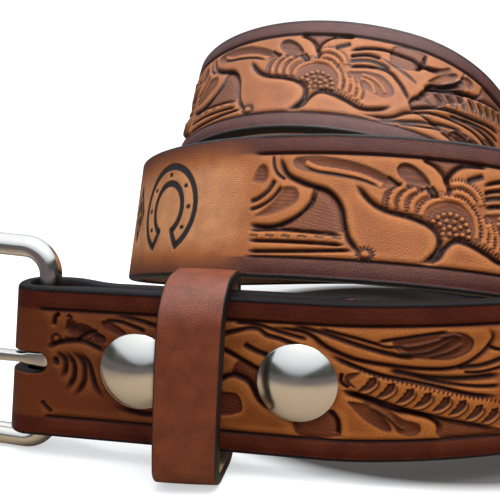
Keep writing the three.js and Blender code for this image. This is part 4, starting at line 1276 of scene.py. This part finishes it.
# Floor: a pale plain sheet that the camera sees nearly white, with a painted shadow inside the coil, where it is
# dark and has no glow. The belt mirrors it as a warm grey patch with darkness round it.
bpy.ops.mesh.primitive_plane_add(size=8, location=(0, 0, 0))
floor = bpy.context.object
floor.name = "floor"
floor_paint = bpy.data.materials.new("floor_paint")
floor_paint.use_nodes = True
tree = floor_paint.node_tree
floor_shader = tree.nodes["Principled BSDF"]
floor_shader.inputs["Roughness"].default_value = 0.9
seen = tree.nodes.new("ShaderNodeLightPath").outputs["Is Camera Ray"]
spot = tree.nodes.new("ShaderNodeTexCoord").outputs["Object"]
away = tree.nodes.new("ShaderNodeVectorMath")
away.operation = "DISTANCE"
tree.links.new(spot, away.inputs[0])
away.inputs[1].default_value = (0, -0.08, 0)
ground = mix(tree, spread(tree, away.outputs["Value"], 0.07, 0.15), (0.31, 0.235, 0.16, 1),
    (0.055, 0.04, 0.04, 1))
beside = tree.nodes.new("ShaderNodeVectorMath")
beside.operation = "DISTANCE"
tree.links.new(spot, beside.inputs[0])
beside.inputs[1].default_value = (0.03, 0.005, 0)
# Painted shadow: within 8 cm of a point near the coil's middle the floor is dark grey and gets no glow for the
# camera. This stands in for the shade under the coil and fades out over the next 7 mm.
outside_coil_shadow = spread(tree, beside.outputs["Value"], 0.080, 0.087)
plain = mix(tree, outside_coil_shadow, (0.09, 0.08, 0.075, 1), (0.60, 0.60, 0.60, 1))
floor_colour = mix(tree, seen, ground, plain)
tree.links.new(floor_colour, floor_shader.inputs["Base Color"])
floor_shader.inputs["Emission Color"].default_value = (1, 1, 1, 1)
tree.links.new(product(tree, spread(tree, seen, 0, 1, 0, 0.5), outside_coil_shadow),
    floor_shader.inputs["Emission Strength"])
floor.data.materials.append(floor_paint)

# Light: an overcast sky seen through a gap in dark trees, and one soft panel above the belt.
lamp_data = bpy.data.lights.new("panel_light", "AREA")
lamp_data.energy = 7
lamp_data.size = 0.6
lamp = bpy.data.objects.new("panel_light", lamp_data)
lamp.location = (0.18, -0.16, 0.75)
lamp.rotation_euler = (math.radians(14), math.radians(12), 0)
bpy.context.scene.collection.objects.link(lamp)
sky = bpy.data.worlds.new("sky")
sky.use_nodes = True
tree = sky.node_tree
backdrop = tree.nodes["Background"]
direction = tree.nodes.new("ShaderNodeTexCoord").outputs["Generated"]
parts = tree.nodes.new("ShaderNodeSeparateXYZ")
tree.links.new(direction, parts.inputs[0])
ramp = tree.nodes.new("ShaderNodeValToRGB")
tree.links.new(spread(tree, parts.outputs["Z"], -1, 1), ramp.inputs[0])
stops = ((0.48, (0.20, 0.15, 0.11, 1)), (0.52, (0.06, 0.05, 0.05, 1)), (0.56, (0.35, 0.38, 0.42, 1)),
         (0.70, (0.75, 0.82, 0.90, 1)), (0.9, (1.1, 1.14, 1.2, 1)))
ramp.color_ramp.elements[0].position, ramp.color_ramp.elements[0].color = stops[0]
ramp.color_ramp.elements[1].position, ramp.color_ramp.elements[1].color = stops[-1]
for position, colour in stops[1:-1]:
    ramp.color_ramp.elements.new(position).color = colour
aside = tree.nodes.new("ShaderNodeMath")
aside.operation = "ABSOLUTE"
tree.links.new(spread(tree, parts.outputs["X"], -1.1, 0.9, -1, 1), aside.inputs[0])
opening = tree.nodes.new("ShaderNodeMath")
opening.operation = "SUBTRACT"
tree.links.new(spread(tree, parts.outputs["Z"], 0.05, 0.5, 0.14, 1.2), opening.inputs[0])
tree.links.new(aside.outputs[0], opening.inputs[1])
clear = spread(tree, opening.outputs[0], -0.06, 0.10)
beyond = mix(tree, clear, (0.055, 0.055, 0.045, 1), ramp.outputs[0])
seen = tree.nodes.new("ShaderNodeLightPath").outputs["Is Camera Ray"]
tree.links.new(mix(tree, seen, beyond, (1, 1, 1, 1)), backdrop.inputs["Color"])
backdrop.inputs["Strength"].default_value = 1.15
bpy.context.scene.world = sky
bpy.context.scene.view_settings.view_transform = "Standard"
